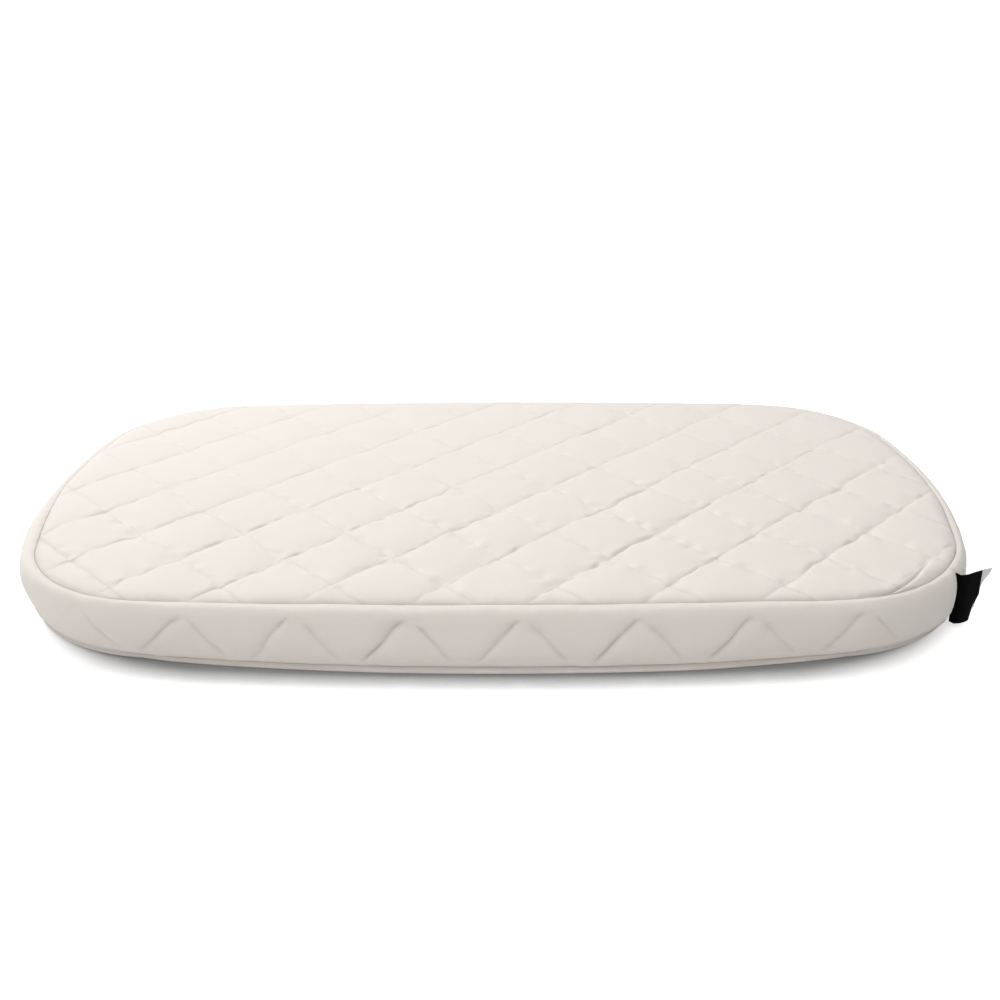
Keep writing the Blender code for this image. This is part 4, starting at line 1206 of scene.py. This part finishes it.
class DressBorder(bpy.types.Operator):
    """Quilted border with its chevrons, seams, join and the folded opening for the zip"""

    bl_idname = "mattress.dress_border"
    bl_label = "Quilted border"

    def execute(self, context):
        shape, quilt, colours = settings(context)
        surface = BorderSurface(shape, quilt)
        outline = surface.outline
        length, height = outline.length, surface.height
        alongs = outline.spaced(EDGE_SPACING, ends=1)
        first, last, low, high = surface.window
        hole_first, hole_last = first - FOLD_RADIUS, last + FOLD_RADIUS
        hole_low, hole_high = surface.up_at(low - FOLD_RADIUS), surface.up_at(high + FOLD_RADIUS)
        hole_alongs = np.linspace(hole_first, hole_last, round((hole_last - hole_first) / EDGE_SPACING) + 1)

        def opening(room, low, high):
            """Rectangle round the zip's opening, with this much room at its ends, between two levels."""
            start, end = first - room, last + room
            shares = (hole_alongs - hole_first) * (end - start) / (hole_last - hole_first)
            return rectangle(start + shares, np.linspace(low, high, 7))

        outer = rectangle(alongs, np.linspace(0, height, 27))
        window = opening(FOLD_RADIUS, hole_low, hole_high)
        x, y = surface.quilting.mesh_places((0, length), (0, height))
        margin = 1.2 * MM
        low_rows, high_rows = 4.2 * MM, surface.shoulder + 1.8 * MM
        keep = (x > margin) & (x < length - margin) & (y > low_rows) & (y < high_rows)
        keep &= beyond(x, y, hole_first, hole_last, hole_low, hole_high) > margin
        points = [outer, window, np.stack([x[keep], y[keep]], -1)]
        spread = np.arange(margin, length - margin, ALONG_SEAM)
        rows = [0.7 * MM, 1.7 * MM, 3.1 * MM, *np.linspace(high_rows + 1.3 * MM, height, 6)[:-1]]
        rows.append(height - 0.5 * MM)
        for number, row in enumerate(rows):
            shifted = spread + (number % 2) * ALONG_SEAM / 2
            points.append(np.column_stack([shifted, np.full(len(spread), row)]))
        flat, faces = plane_triangles(np.concatenate(points), loops_of(outer, window))
        parts = [(surface.places(flat[:, 0], flat[:, 1]), faces, flat)]

        # Cloth folded in round the zip's opening
        rows = [surface.places(window[:, 0], window[:, 1])]
        front = np.interp((hole_low + hole_high) / 2, surface.ups, surface.curve[:, 0])
        for angle in np.radians((30, 60, 90)):
            back = FOLD_RADIUS * (1 - math.cos(angle))
            close = FOLD_RADIUS * (1 - math.sin(angle))
            ring = opening(close, low - close, high + close)
            rows.append(outline.places(ring[:, 0], front + back, ring[:, 1]))
        ring = opening(0.0, low, high)
        rows.append(outline.places(ring[:, 0], WALL_INSET, ring[:, 1]))
        turned_in = np.repeat(np.arange(len(rows)), len(window))[:, None] * MM
        parts.append((*strip(*rows), np.tile(window, (len(rows), 1)) + turned_in))

        # Inner wall and its ledges to the seams
        bottom, top = surface.places(alongs, 0.0), surface.places(alongs, height)
        rise = shape.seam_height - border_low.z
        levels = np.array((border_low.z + WALL_LOW * rise, border_low.z + WALL_HIGH * rise))
        wall = rectangle(alongs, levels)
        flat, faces = plane_triangles(np.concatenate([wall, ring]), loops_of(wall, ring))
        parts.append((outline.places(flat[:, 0], WALL_INSET, flat[:, 1]), faces, flat))
        low_wall, high_wall = (outline.places(alongs, WALL_INSET, level) for level in levels)
        low_rim = outline.places(alongs, shape.tuck_bottom + 1.2 * MM, bottom[:, 2])
        parts.append(strip(bottom, low_rim, low_wall, closed=False))
        seam_z = top[:, 2] - 0.7 * MM
        ledge = outline.places(alongs, shape.tuck_top, seam_z)
        high_rim = outline.places(alongs, outline.locate(top[:, 0], top[:, 1])[0], seam_z)
        parts.append(strip(high_wall, ledge, high_rim, top, closed=False))
        cream = knit("cream_jersey_border", colours.cream)
        border = make_piece("border_cover", parts, cream, surface.painted_crease_shade)
        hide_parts("border_quilted_face")
        return {"FINISHED"}


class DressUnderside(bpy.types.Operator):
    """Plain underside panel with its soft rolled edge"""

    bl_idname = "mattress.dress_underside"
    bl_label = "Underside"

    def execute(self, context):
        shape, _, colours = settings(context)
        outline = Outline(shape)
        alongs = outline.spaced(UNDERSIDE_SPACING)
        sag = 0.9 * shape.unevenness * Unevenness(51)(alongs, size=33 * MM)
        sag = sag + 0.5 * shape.unevenness * Unevenness(52)(alongs, size=9 * MM)
        slumped = slump(shape, outline, alongs)
        tucked = corner_tuck(shape, outline, alongs)
        rim = rim_high.z
        curve = smooth_curve([(shape.tuck_bottom + ROLL_REACH * a, rim * b) for a, b in ROLL_SHARES], 4)
        rows, cloth_rows = [], []
        for (inset, z), run in zip(curve, lengths_along(curve)):
            share = z / rim
            bulge = math.sin(math.pi * min(share, 1.0))
            lift = (1 - share) * share * 1.2 * np.maximum(sag, 0)
            tuck = BORDER_TUCK + (1 - BORDER_TUCK) * max(1 - share, 0.0) ** 0.5
            shift = slumped * (1.43 - 0.43 * share) - tucked * tuck
            rows.append(outline.places(alongs, inset - sag * bulge - shift, z + lift))
            cloth_rows.append(np.column_stack([alongs, np.full(len(alongs), -run)]))
        for z in (rim, rim_low.z + 1.5 * MM):
            rows.append(outline.places(alongs, shape.tuck_bottom + 1.5 * MM, z))
            cloth_rows.append(cloth_rows[-1])
        parts = [(*strip(*rows), np.concatenate(cloth_rows))]
        parts += [(row, loops_of(row), row[:, :2]) for row in (rows[0], rows[-1])]
        # The underside's cloth takes the darker shade colour: painted shade below the lower edge
        cream = knit("cream_jersey_underside", colours.shade, 1.2 * MM)
        piece = make_piece("underside_cover", parts, cream)
        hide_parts("bottom_panel_face")
        return {"FINISHED"}


class SewQuilting(bpy.types.Operator):
    """Stitches of thread along the quilting seams and round the zip's opening"""

    bl_idname = "mattress.sew_quilting"
    bl_label = "Stitching"

    def execute(self, context):
        shape, quilt, colours = settings(context)
        thread = thread_finish("cream_thread", colours.thread)
        sewing = (quilt.stitch + STITCH_GAP, quilt.stitch, quilt.thread / 2)
        surface = TopSurface(shape, quilt)
        half_length, half_width = shape.length / 2, shape.width / 2
        parts = []
        for line in surface.quilting.seam_lines((-half_length, half_length), (-half_width, half_width)):
            line = line[surface.outline.locate(line[:, 0], line[:, 1])[0] > surface.seam_inset + 2.5 * MM]
            if len(line) >= FEWEST_PLACES:
                z = surface.height(line[:, 0], line[:, 1])
                parts.append(stitches(np.column_stack([line, z]), *sewing))
        make_piece("top_quilting_thread", parts, thread)
        border = BorderSurface(shape, quilt)
        length = border.outline.length
        parts = []
        for line in border.quilting.seam_lines((0, length), (0, border.height)):
            along, up = line[:, 0], line[:, 1]
            x = border.outline.frames(along)[0][:, 0]
            inside = beyond(along, border.z_at(up), *border.window) > 12 * MM
            inside &= (up > 9 * MM) & (up < border.shoulder)
            inside &= (along > 8 * MM) & (along < length - 8 * MM)
            inside &= np.abs(x) < shape.length / 2 - 25 * MM
            if inside.sum() >= FEWEST_PLACES:
                parts.append(stitches(border.places(along[inside], up[inside]), *sewing))
        first, last, low, high = border.window
        for z in (low - 3 * MM, high + 3 * MM):
            parts.append(stitches(border.places(np.arange(first, last, MM), border.up_at(z)), *sewing))
        make_piece("border_thread", parts, thread)
        return {"FINISHED"}


class DressLabels(bpy.types.Operator):
    """Blank woven side label, folded at its free edge, and the thin care label behind it"""

    bl_idname = "mattress.dress_labels"
    bl_label = "Labels"

    def execute(self, context):
        shape, _, colours = settings(context)
        points, outs = Outline(shape).frames(np.zeros(1))
        root, out = points[0], outs[0]
        way = np.array((-out[1], out[0]))
        uneven = Unevenness(61)

        def place(path, z):
            """Places in space of a path in distances out of the join and along the border."""
            lift = LABEL_LIFT * (1 - near(np.hypot(path[:, 0], path[:, 1]), 6 * MM))
            return np.column_stack([root + path[:, :1] * out + path[:, 1:] * way, z + lift])

        def middle_line(length, lean, bend, side, curl):
            """Out of the join, round a bend, straight on and round its curl, with directions aside."""
            runs = np.linspace(-LABEL_SEWN_IN, length, 34)
            curl_length = 0.62 * length
            turned = np.clip((runs - 1.0 * MM) / bend, 0, lean)
            turned = turned + curl * fade((runs - length + curl_length) / (1.2 * curl_length))
            ways = np.column_stack([np.cos(turned), np.sin(turned)])
            steps = np.diff(runs)[:, None] * (ways[1:] + ways[:-1]) / 2
            path = np.array((runs[0], side)) + np.concatenate([np.zeros((1, 2)), np.cumsum(steps, axis=0)])
            return path, np.column_stack([-np.sin(turned), np.cos(turned)])

        def label(length, low, high, thickness, side, folded, curl_from, curl, sharpness):
            """A label as a ribbon, from its lower edge to its upper one."""
            grid = []
            for share in np.linspace(0, 1, 30):
                z = low + (high - low) * share
                bend = 5.2 * MM + 0.8 * MM * share - side
                curling = math.radians(curl) * max(0.0, (curl_from - share) / curl_from) ** sharpness
                middle, aside = middle_line(length, math.radians(57 + 3 * share), bend, side, curling)
                runs = np.linspace(0, 1, len(middle))
                ripple = 0.35 * MM * uneven(runs * 2 + 3, z / (16 * MM)) * runs**1.5
                middle = middle + aside * ripple[:, None]
                if folded:
                    apart = LABEL_PLY * (0.62 + 0.25 * np.sin(runs * math.pi))[:, None]
                    ahead = unit(middle[-1] - middle[-2])
                    turns = np.radians(np.linspace(-60, 60, 5))[:, None]
                    tip = middle[-1] + (ahead * np.cos(turns) + aside[-1] * np.sin(turns)) * apart[-1]
                    middle = np.concatenate([middle - aside * apart, tip, (middle + aside * apart)[::-1]])
                grid.append(place(middle, z))
            return ribbon(grid, thickness)

        black = satin("black_satin", colours.label, 0.7, 0.02)
        part = label(
            LABEL_SHOWN, label_low.z, label_high.z, thickness=0.26 * MM, side=0.0, folded=True,
            curl_from=0.52, curl=78, sharpness=0.8,
        )
        side = make_piece("side_label_ribbon", [part], black)
        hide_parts("side_label")
        white = satin("white_satin", colours.care, 0.55, 0.2)
        part = label(
            CARE_SHOWN, care_low.z, care_high.z, thickness=0.16 * MM, side=0.85 * MM, folded=False,
            curl_from=1.0, curl=170, sharpness=1.5,
        )
        care = make_piece("care_label_ribbon", [part], white)
        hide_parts("care_label")
        return {"FINISHED"}


class FitZip(bpy.types.Operator):
    """Zip along the back: woven tapes, interlocked coils, stops, slider and its pull"""

    bl_idname = "mattress.fit_zip"
    bl_label = "Zip"

    def execute(self, context):
        shape, _, colours = settings(context)
        outline = Outline(shape)
        cloth = woven("zip_tape_weave", colours.tape)
        nylon = moulded("zip_nylon", colours.coil)
        thread = thread_finish("zip_thread", colours.tape)
        metal = plated("zip_nickel", colours.metal)
        first = outline.back_along(tape_end, TAPE_INSET)
        last = 2 * outline.back_middle - first
        coil_first = outline.back_along(coil_end, ZIP_INSET)
        coil_last = 2 * outline.back_middle - coil_first
        alongs = np.arange(first, last, 2.5 * MM)
        coil_alongs = np.arange(coil_first, coil_last, MM)
        for side, word in ((1, "upper"), (-1, "lower")):
            grid = [
                outline.places(alongs, TAPE_INSET, zip_middle + side * across)
                for across in np.linspace(TAPE_NEAR, TAPE_FAR, 9)
            ]
            tape = make_piece(f"tape_{word}", [ribbon(grid, TAPE_THICKNESS)], cloth)
            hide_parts(f"zip_tape_{word}")
            last - first
            coil = make_piece(
                f"coil_{word}", [self.coil(outline, coil_first, coil_last, side)], nylon
            )
            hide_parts(f"zip_coil_{word}")
            lines = [outline.places(coil_alongs, COIL_SEAM_INSET, zip_middle + side * a) for a in COIL_SEAMS]
            parts = [stitches(line, *COIL_SEWING) for line in lines]
            make_piece(f"coil_thread_{word}", parts, thread)
        for node in ("zip_stop_closed", "zip_stop_open"):
            self.stop(outline, node, metal)
        self.slider(metal)
        self.pull(metal)
        return {"FINISHED"}

    def coil(self, outline, first, last, side):
        """One row of teeth: a filament wound in flat loops that reach just past the middle."""
        sides, per_turn = 5, 10
        begin, back = (0.5, COIL_PITCH / 2) if side < 0 else (0.0, 0.0)
        count = int((last - first - 2 * FILAMENT) / COIL_PITCH * per_turn)
        turns = 2 * math.pi * (np.arange(count) / per_turn + begin)
        across = (COIL_NEAR + COIL_FAR) / 2 - (COIL_FAR - COIL_NEAR) / 2 * np.cos(turns)
        along = first + FILAMENT + COIL_PITCH * turns / (2 * math.pi) - back
        centres = outline.places(along, COIL_INSET - COIL_HALF * np.sin(turns), zip_middle + side * across)
        ways = unit(np.gradient(centres, axis=0))
        aside = unit(np.cross(ways, np.array((1.0, 0.0, 0.0))))
        rise = np.cross(ways, aside)
        angles = 2 * math.pi * np.arange(sides) / sides
        rings = [centres + (aside * math.cos(a) + rise * math.sin(a)) * FILAMENT for a in angles]
        places, quads = strip(*np.stack(rings, 1))
        ends = loops_of(angles, places[sides:])
        return places, [*quads.tolist(), ends[0][::-1], ends[1][-sides:]]

    def stop(self, outline, node, metal):
        """A small metal clip crimped across the coils."""
        thickness, edge = 1.8 * MM, 0.45 * MM
        low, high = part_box(node)
        first, last = outline.back_along(high.x, ZIP_INSET), outline.back_along(low.x, ZIP_INSET)
        points, outs = outline.frames(np.array([(first + last) / 2]))
        out = outs[0]
        place = points[0] - out * COIL_INSET
        size = Matrix.Diagonal((last - first, thickness, high.z - low.z, 1))
        turn = Matrix(((-out[1], -out[0], 0), (out[0], -out[1], 0), (0, 0, 1)))
        bm = bmesh.new()
        bmesh.ops.create_cube(bm, size=1.0)
        bmesh.ops.transform(bm, matrix=size, verts=bm.verts)
        bmesh.ops.bevel(bm, geom=bm.edges[:], offset=edge, segments=3, affect="EDGES", profile=0.6)
        bmesh.ops.transform(bm, matrix=turn.to_4x4(), verts=bm.verts)
        bmesh.ops.translate(bm, vec=(*place, zip_middle), verts=bm.verts)
        clip = metal_piece(node + "_clip", bm, ROOT, metal)
        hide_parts(node)

    def slider_space(self):
        """Turns (along, inset, up) beside the parked slider into a place in space."""
        hinge, axis = joint_places["zip_pull_hinge"], joint_places["zip_slide"]
        out = (hinge - axis).to_2d().normalized()
        surface = axis.to_2d() + out * SIDE_RADIUS
        return Matrix((
            (-out.y, -out.x, 0, surface.x),
            (out.x, -out.y, 0, surface.y),
            (0, 0, 1, hinge.z),
            (0, 0, 0, 1),
        ))

    def slider(self, metal):
        """Two plates with flanges, a nose and the bridge that holds the pull."""
        bm = bmesh.new()
        half = 6.0 * MM
        nose, nose_round, tail, tail_round = 4.6 * MM, 3.2 * MM, 3.9 * MM, 2.4 * MM
        front_plate, back_plate = (1.0 * MM, 1.9 * MM), (5.3 * MM, 6.2 * MM)
        plate_edge, flange_edge, wedge_edge, bridge_edge = 0.22 * MM, 0.12 * MM, 0.04 * MM, 0.2 * MM

        def plate(points, low, high, bevel, upright=False):
            """A flat shape between two insets, or between two heights, with rounded edges."""
            made = bmesh.new()
            base = [made.verts.new((a, u, low) if upright else (a, low, u)) for a, u in points]
            moved = bmesh.ops.extrude_face_region(made, geom=[made.faces.new(base)])["geom"]
            moved = [part for part in moved if isinstance(part, bmesh.types.BMVert)]
            step = (0, 0, high - low) if upright else (0, high - low, 0)
            bmesh.ops.translate(made, vec=step, verts=moved)
            bmesh.ops.recalc_face_normals(made, faces=made.faces)
            bmesh.ops.bevel(made, geom=made.edges[:], offset=bevel, segments=2, affect="EDGES", profile=0.6)
            mesh = bpy.data.meshes.new("slider_part")
            made.to_mesh(mesh)
            made.free()
            bm.from_mesh(mesh)
            bpy.data.meshes.remove(mesh)

        shield = []
        for end, start, size, width in ((1, -90, tail_round, tail), (-1, 90, nose_round, nose)):
            for turn in np.radians(np.linspace(start, start + 180, 9)):
                shield.append((end * (half - size) + math.cos(turn) * size, math.sin(turn) * width))
        plate(shield, *front_plate, plate_edge)
        plate(shield, *back_plate, plate_edge)
        for side in (-1, 1):
            ends = (half - 2.0 * MM, -half + 2.6 * MM)
            flange = [
                (ends[0], side * 3.75 * MM), (ends[1], side * 3.75 * MM),
                (ends[1], side * 4.55 * MM), (ends[0], side * 4.38 * MM),
            ]
            plate(flange, 1.2 * MM, 3.95 * MM, flange_edge)
        wedge = [(-half + 1.2 * MM, -0.2 * MM), (-half + 3.2 * MM, 0.0), (-half + 1.2 * MM, 0.2 * MM)]
        plate(wedge, 1.5 * MM, 5.6 * MM, wedge_edge)
        outside = ((3.9, 1.5), (3.9, -0.6), (3.3, -1.75), (2.3, -2.4))
        inside = ((3.1, 1.5), (3.1, -0.4), (2.7, -1.2), (1.9, -1.6))
        arch = [(-a, i) for a, i in outside] + [*outside[::-1], *inside] + [(-a, i) for a, i in inside[::-1]]
        plate([(a * MM, i * MM) for a, i in arch], -1.1 * MM, 1.1 * MM, bridge_edge, upright=True)
        bmesh.ops.transform(bm, matrix=self.slider_space(), verts=bm.verts)
        body = metal_piece("slider_body", bm, SLIDER, metal)
        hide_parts("zip_slider_body")

    def pull(self, metal):
        """A blank tab with an eye, thin round edges and a shallow panel on each face."""
        bm = bmesh.new()
        half, length, thick, inset = 3.5 * MM, 22.0 * MM, 1.0 * MM, -0.8 * MM
        eye_half, bar, eye = 1.4 * MM, 0.5 * MM, 5.0 * MM
        front, back = inset - thick / 2, inset + thick / 2
        edge, soft = 0.22 * MM, 0.07 * MM

        def rounded(low, high, half, radius):
            """Rounded rectangle of places, the same number whatever its size."""
            points = []
            for number, (a, u) in enumerate(((high, half), (low, half), (low, -half), (high, -half))):
                centre = (a - math.copysign(radius, a - (low + high) / 2), u - math.copysign(radius, u))
                for turn in np.radians(np.linspace(0, 90, 8)) + math.radians(90 * number):
                    points.append((centre[0] + math.cos(turn) * radius, centre[1] + math.sin(turn) * radius))
            return np.array(points)

        def loop(points, depth, shrink=0.0):
            """Vertices round the places, drawn in towards their middle."""
            points = points - unit(points - points.mean(axis=0)) * shrink
            return [bm.verts.new((a, depth, u)) for a, u in points]

        outer = rounded(-bar, length, half, 1.6 * MM)
        hole = rounded(bar, eye, eye_half, 0.7 * MM)
        panel = rounded(eye + 2.0 * MM, length - 1.4 * MM, half - 1.2 * MM, 1.2 * MM)
        rounds = ((0.0, edge), (soft, soft), (edge, 0.0))
        outer_loops = [loop(outer, front + depth, shrink) for depth, shrink in rounds]
        outer_loops += [loop(outer, back - depth, shrink) for depth, shrink in reversed(rounds)]
        hole_loops = [loop(hole, front, -edge), loop(hole, front + edge)]
        hole_loops += [loop(hole, back - edge), loop(hole, back, -edge)]
        bridge(bm, *outer_loops)
        bridge(bm, *hole_loops)
        bridge(bm, outer_loops[0], hole_loops[0])
        bridge(bm, outer_loops[-1], hole_loops[-1])
        for sign, depth in ((-1, front), (1, back)):
            rim = loop(panel, depth + sign * 0.02 * MM)
            raised = loop(panel, depth + sign * 0.16 * MM, 0.2 * MM)
            under = loop(panel, depth - sign * 0.15 * MM)
            bridge(bm, under, rim, raised)
            bm.faces.new(raised)
            bm.faces.new(under)
        bmesh.ops.transform(bm, matrix=self.slider_space(), verts=bm.verts)
        tab = metal_piece("pull_tab", bm, PULL, metal)
        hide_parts("zip_pull_tab")


class FinishFilling(bpy.types.Operator):
    """Foam, fibre, backing and seam allowances inside the cover"""

    bl_idname = "mattress.finish_filling"
    bl_label = "Filling"

    def execute(self, context):
        colours = settings(context)[2]
        foam = foamed("open_cell_foam", colours.foam)
        fibre = fibrous("white_fibre", colours.fibre, 0.8 * MM, 0.3 * MM)
        backing = fibrous("non_woven_backing", colours.backing, 0.5 * MM, 0.08 * MM)
        # The turned edges take the darker shade colour, a painted-shade copy of the cream
        allowance = fibrous("cream_turned_edge", colours.shade, 0.6 * MM, 0.1 * MM)
        for material, slot, names in (
            (foam, "foam", ["foam_core"]),
            (fibre, "fibre_fill", ["top_fibre_fill", "border_fibre_fill", "bottom_fibre_fill"]),
            (backing, "backing_cloth", ["top_backing", "border_backing", "bottom_backing"]),
            (allowance, "quilted_cloth", ["border_join_allowance", "top_seam_allowance"]),
            (allowance, "underside_cloth", ["bottom_seam_allowance"]),
        ):
            for name in names:
                node = frame["nodes"][name]
                if not node.material_slots:
                    raise RuntimeError(f"{name} has no material slot")
                for holder in node.material_slots:
                    holder.material = material
        return {"FINISHED"}


class SetStudio(bpy.types.Operator):
    """Pale floor with a painted shadow, window light from behind, soft surroundings and the camera"""

    bl_idname = "mattress.set_studio"
    bl_label = "Studio"

    def execute(self, context):
        scene = context.scene
        light = scene.mattress_light
        scene.view_settings.view_transform = "Standard"
        self.floor(scene)
        self.world(scene, light.sky)
        self.lamp(scene, "window_light", *WINDOW_LIGHT, light.key)
        self.lamp(scene, "soft_light", *SOFT_LIGHT, light.fill)
        self.camera(scene)
        return {"FINISHED"}

    def floor(self, scene):
        """A white floor with a painted shadow: its colour and glow darken next to what stands on it by
        ambient occlusion, less towards the ends.
        """
        bm = bmesh.new()
        bmesh.ops.create_grid(bm, x_segments=1, y_segments=1, size=30.0)
        mesh = bpy.data.meshes.new("floor")
        bm.to_mesh(mesh)
        bm.free()
        floor = bpy.data.objects.new("floor", mesh)
        floor.location.z = -0.05 * MM
        scene.collection.objects.link(floor)
        finish = Finish("white_floor", 0.9, Specular_IOR_Level=0.0)
        seen = finish.seen()
        # Painted shadow: an ambient occlusion node darkens the floor next to the mattress, fading out past
        # SHADOW_END towards the ends
        beside = finish.node("ShaderNodeAmbientOcclusion", {"samples": 8}, Distance=SHADOW_REACH)
        place = finish.node("ShaderNodeSeparateXYZ", {}, finish.world())
        aside = abs(Value(finish, place.outputs["X"])) * -1.0
        middle = ((aside + SHADOW_END) * (1 / SHADOW_FADE)).math("MAXIMUM", 0.0).math("MINIMUM", 1.0)
        shadow = (1.0 - Value(finish, beside.outputs["AO"])) * middle
        clear = (1.0 - shadow * 2.0).math("MAXIMUM", 0.0).math("POWER", SHADOW_POWER)
        clear = clear * (1 - SHADOW_DARKEST) + SHADOW_DARKEST
        black = (0.0, 0.0, 0.0, 1.0)
        white = finish.mix(clear, black, (FLOOR_SEEN, FLOOR_SEEN, FLOOR_SEEN, 1.0))
        # The painted shadow goes into the colour and the glow seen by camera, glossy and transmission rays
        finish.set(
            Base_Color=finish.mix(seen, (FLOOR_TONE, FLOOR_TONE, FLOOR_TONE, 1.0), white),
            Emission_Color=finish.mix(seen, black, white),
            Emission_Strength=FLOOR_GLOW,
        )
        mesh.materials.append(finish.material)
        floor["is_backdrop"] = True

    def world(self, scene, sky):
        """White where it is seen, and light that comes more from the left where it isn't."""
        world = bpy.data.worlds.new("studio")
        world.use_nodes = True
        scene.world = world
        nodes = Nodes(world.node_tree)
        way = nodes.node("ShaderNodeTexCoord", {})
        across = nodes.node("ShaderNodeSeparateXYZ", {}, way.outputs["Generated"])
        tilt = {"From Min": -1.0, "To Min": sky * (1 + SKY_TILT), "To Max": sky * (1 - SKY_TILT)}
        sides = nodes.node("ShaderNodeMapRange", {}, Value=across.outputs["X"], **tilt)
        ends = {"To Min": sides.outputs["Result"], "To Max": 1.0}
        strength = nodes.node("ShaderNodeMapRange", {}, Value=nodes.seen(), **ends)
        background = nodes.tree.nodes["Background"]
        nodes.plug((1.0, 1.0, 1.0, 1.0), background.inputs["Color"])
        nodes.plug(strength.outputs["Result"], background.inputs["Strength"])

    def lamp(self, scene, name, plan, elevation, distance, size, power):
        """A round lamp towards the mattress, from a direction in plan and an elevation in degrees."""
        data = bpy.data.lights.new(name, "AREA")
        data.shape = "DISK"
        data.size = size
        data.energy = power
        lamp = bpy.data.objects.new(name, data)
        angle = math.radians(elevation)
        way = Vector((plan[0] * math.cos(angle), plan[1] * math.cos(angle), math.sin(angle)))
        lamp.location = LAMP_TARGET + way.normalized() * distance
        lamp.rotation_euler = way.to_track_quat("Z", "Y").to_euler()
        scene.collection.objects.link(lamp)

    def camera(self, scene):
        """The photograph's camera."""
        data = bpy.data.cameras.new("photo_view")
        data.sensor_width = CAMERA_SENSOR
        data.lens = CAMERA_LENS
        data.shift_x, data.shift_y = CAMERA_SHIFT
        camera = bpy.data.objects.new("photo_view", data)
        turn, rise, roll = (math.radians(angle) for angle in CAMERA_ANGLES)
        back = Vector((math.sin(turn) * math.cos(rise), -math.cos(turn) * math.cos(rise), math.sin(rise)))
        right = Vector((math.cos(turn), math.sin(turn), 0))
        up = back.cross(right)
        across = right * math.cos(roll) + up * math.sin(roll)
        above = up * math.cos(roll) - right * math.sin(roll)
        turned = Matrix((across, above, back)).transposed().to_4x4()
        camera.matrix_world = Matrix.Translation(CAMERA_TARGET + back * CAMERA_DISTANCE) @ turned
        scene.collection.objects.link(camera)
        scene.camera = camera


class MATTRESS_PT_panel(bpy.types.Panel):
    """Lists the mattress's pieces"""

    bl_label = "Mattress"
    bl_space_type = "VIEW_3D"
    bl_region_type = "UI"
    bl_category = "Mattress"

    def draw(self, context):
        for operator in OPERATORS:
            self.layout.operator(operator.bl_idname)


OPERATORS = (
    DressTop, DressBorder, DressUnderside, SewQuilting, DressLabels, FitZip, FinishFilling, SetStudio
)
GROUPS = {
    "mattress_shape": MattressShape,
    "mattress_quilt": QuiltShape,
    "mattress_colours": ClothColours,
    "mattress_light": StudioLight,
}


def register():
    for group in (*GROUPS.values(), *OPERATORS, MATTRESS_PT_panel):
        bpy.utils.register_class(group)
    for name, group in GROUPS.items():
        setattr(bpy.types.Scene, name, PointerProperty(type=group))


def unregister():
    for name in GROUPS:
        delattr(bpy.types.Scene, name)
    for group in reversed((*GROUPS.values(), *OPERATORS, MATTRESS_PT_panel)):
        bpy.utils.unregister_class(group)


def main():
    register()
    bpy.ops.mattress.finish_filling()
    bpy.ops.mattress.dress_top()
    bpy.ops.mattress.dress_border()
    bpy.ops.mattress.dress_underside()
    bpy.ops.mattress.sew_quilting()
    bpy.ops.mattress.dress_labels()
    bpy.ops.mattress.fit_zip()
    bpy.ops.mattress.set_studio()
    bpy.context.view_layer.update()
    boxes = {"cad": cad_box, "visual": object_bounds()}
    {name: [list(corner) for corner in box] for name, box in boxes.items()}


if __name__ == "__main__":
    main()
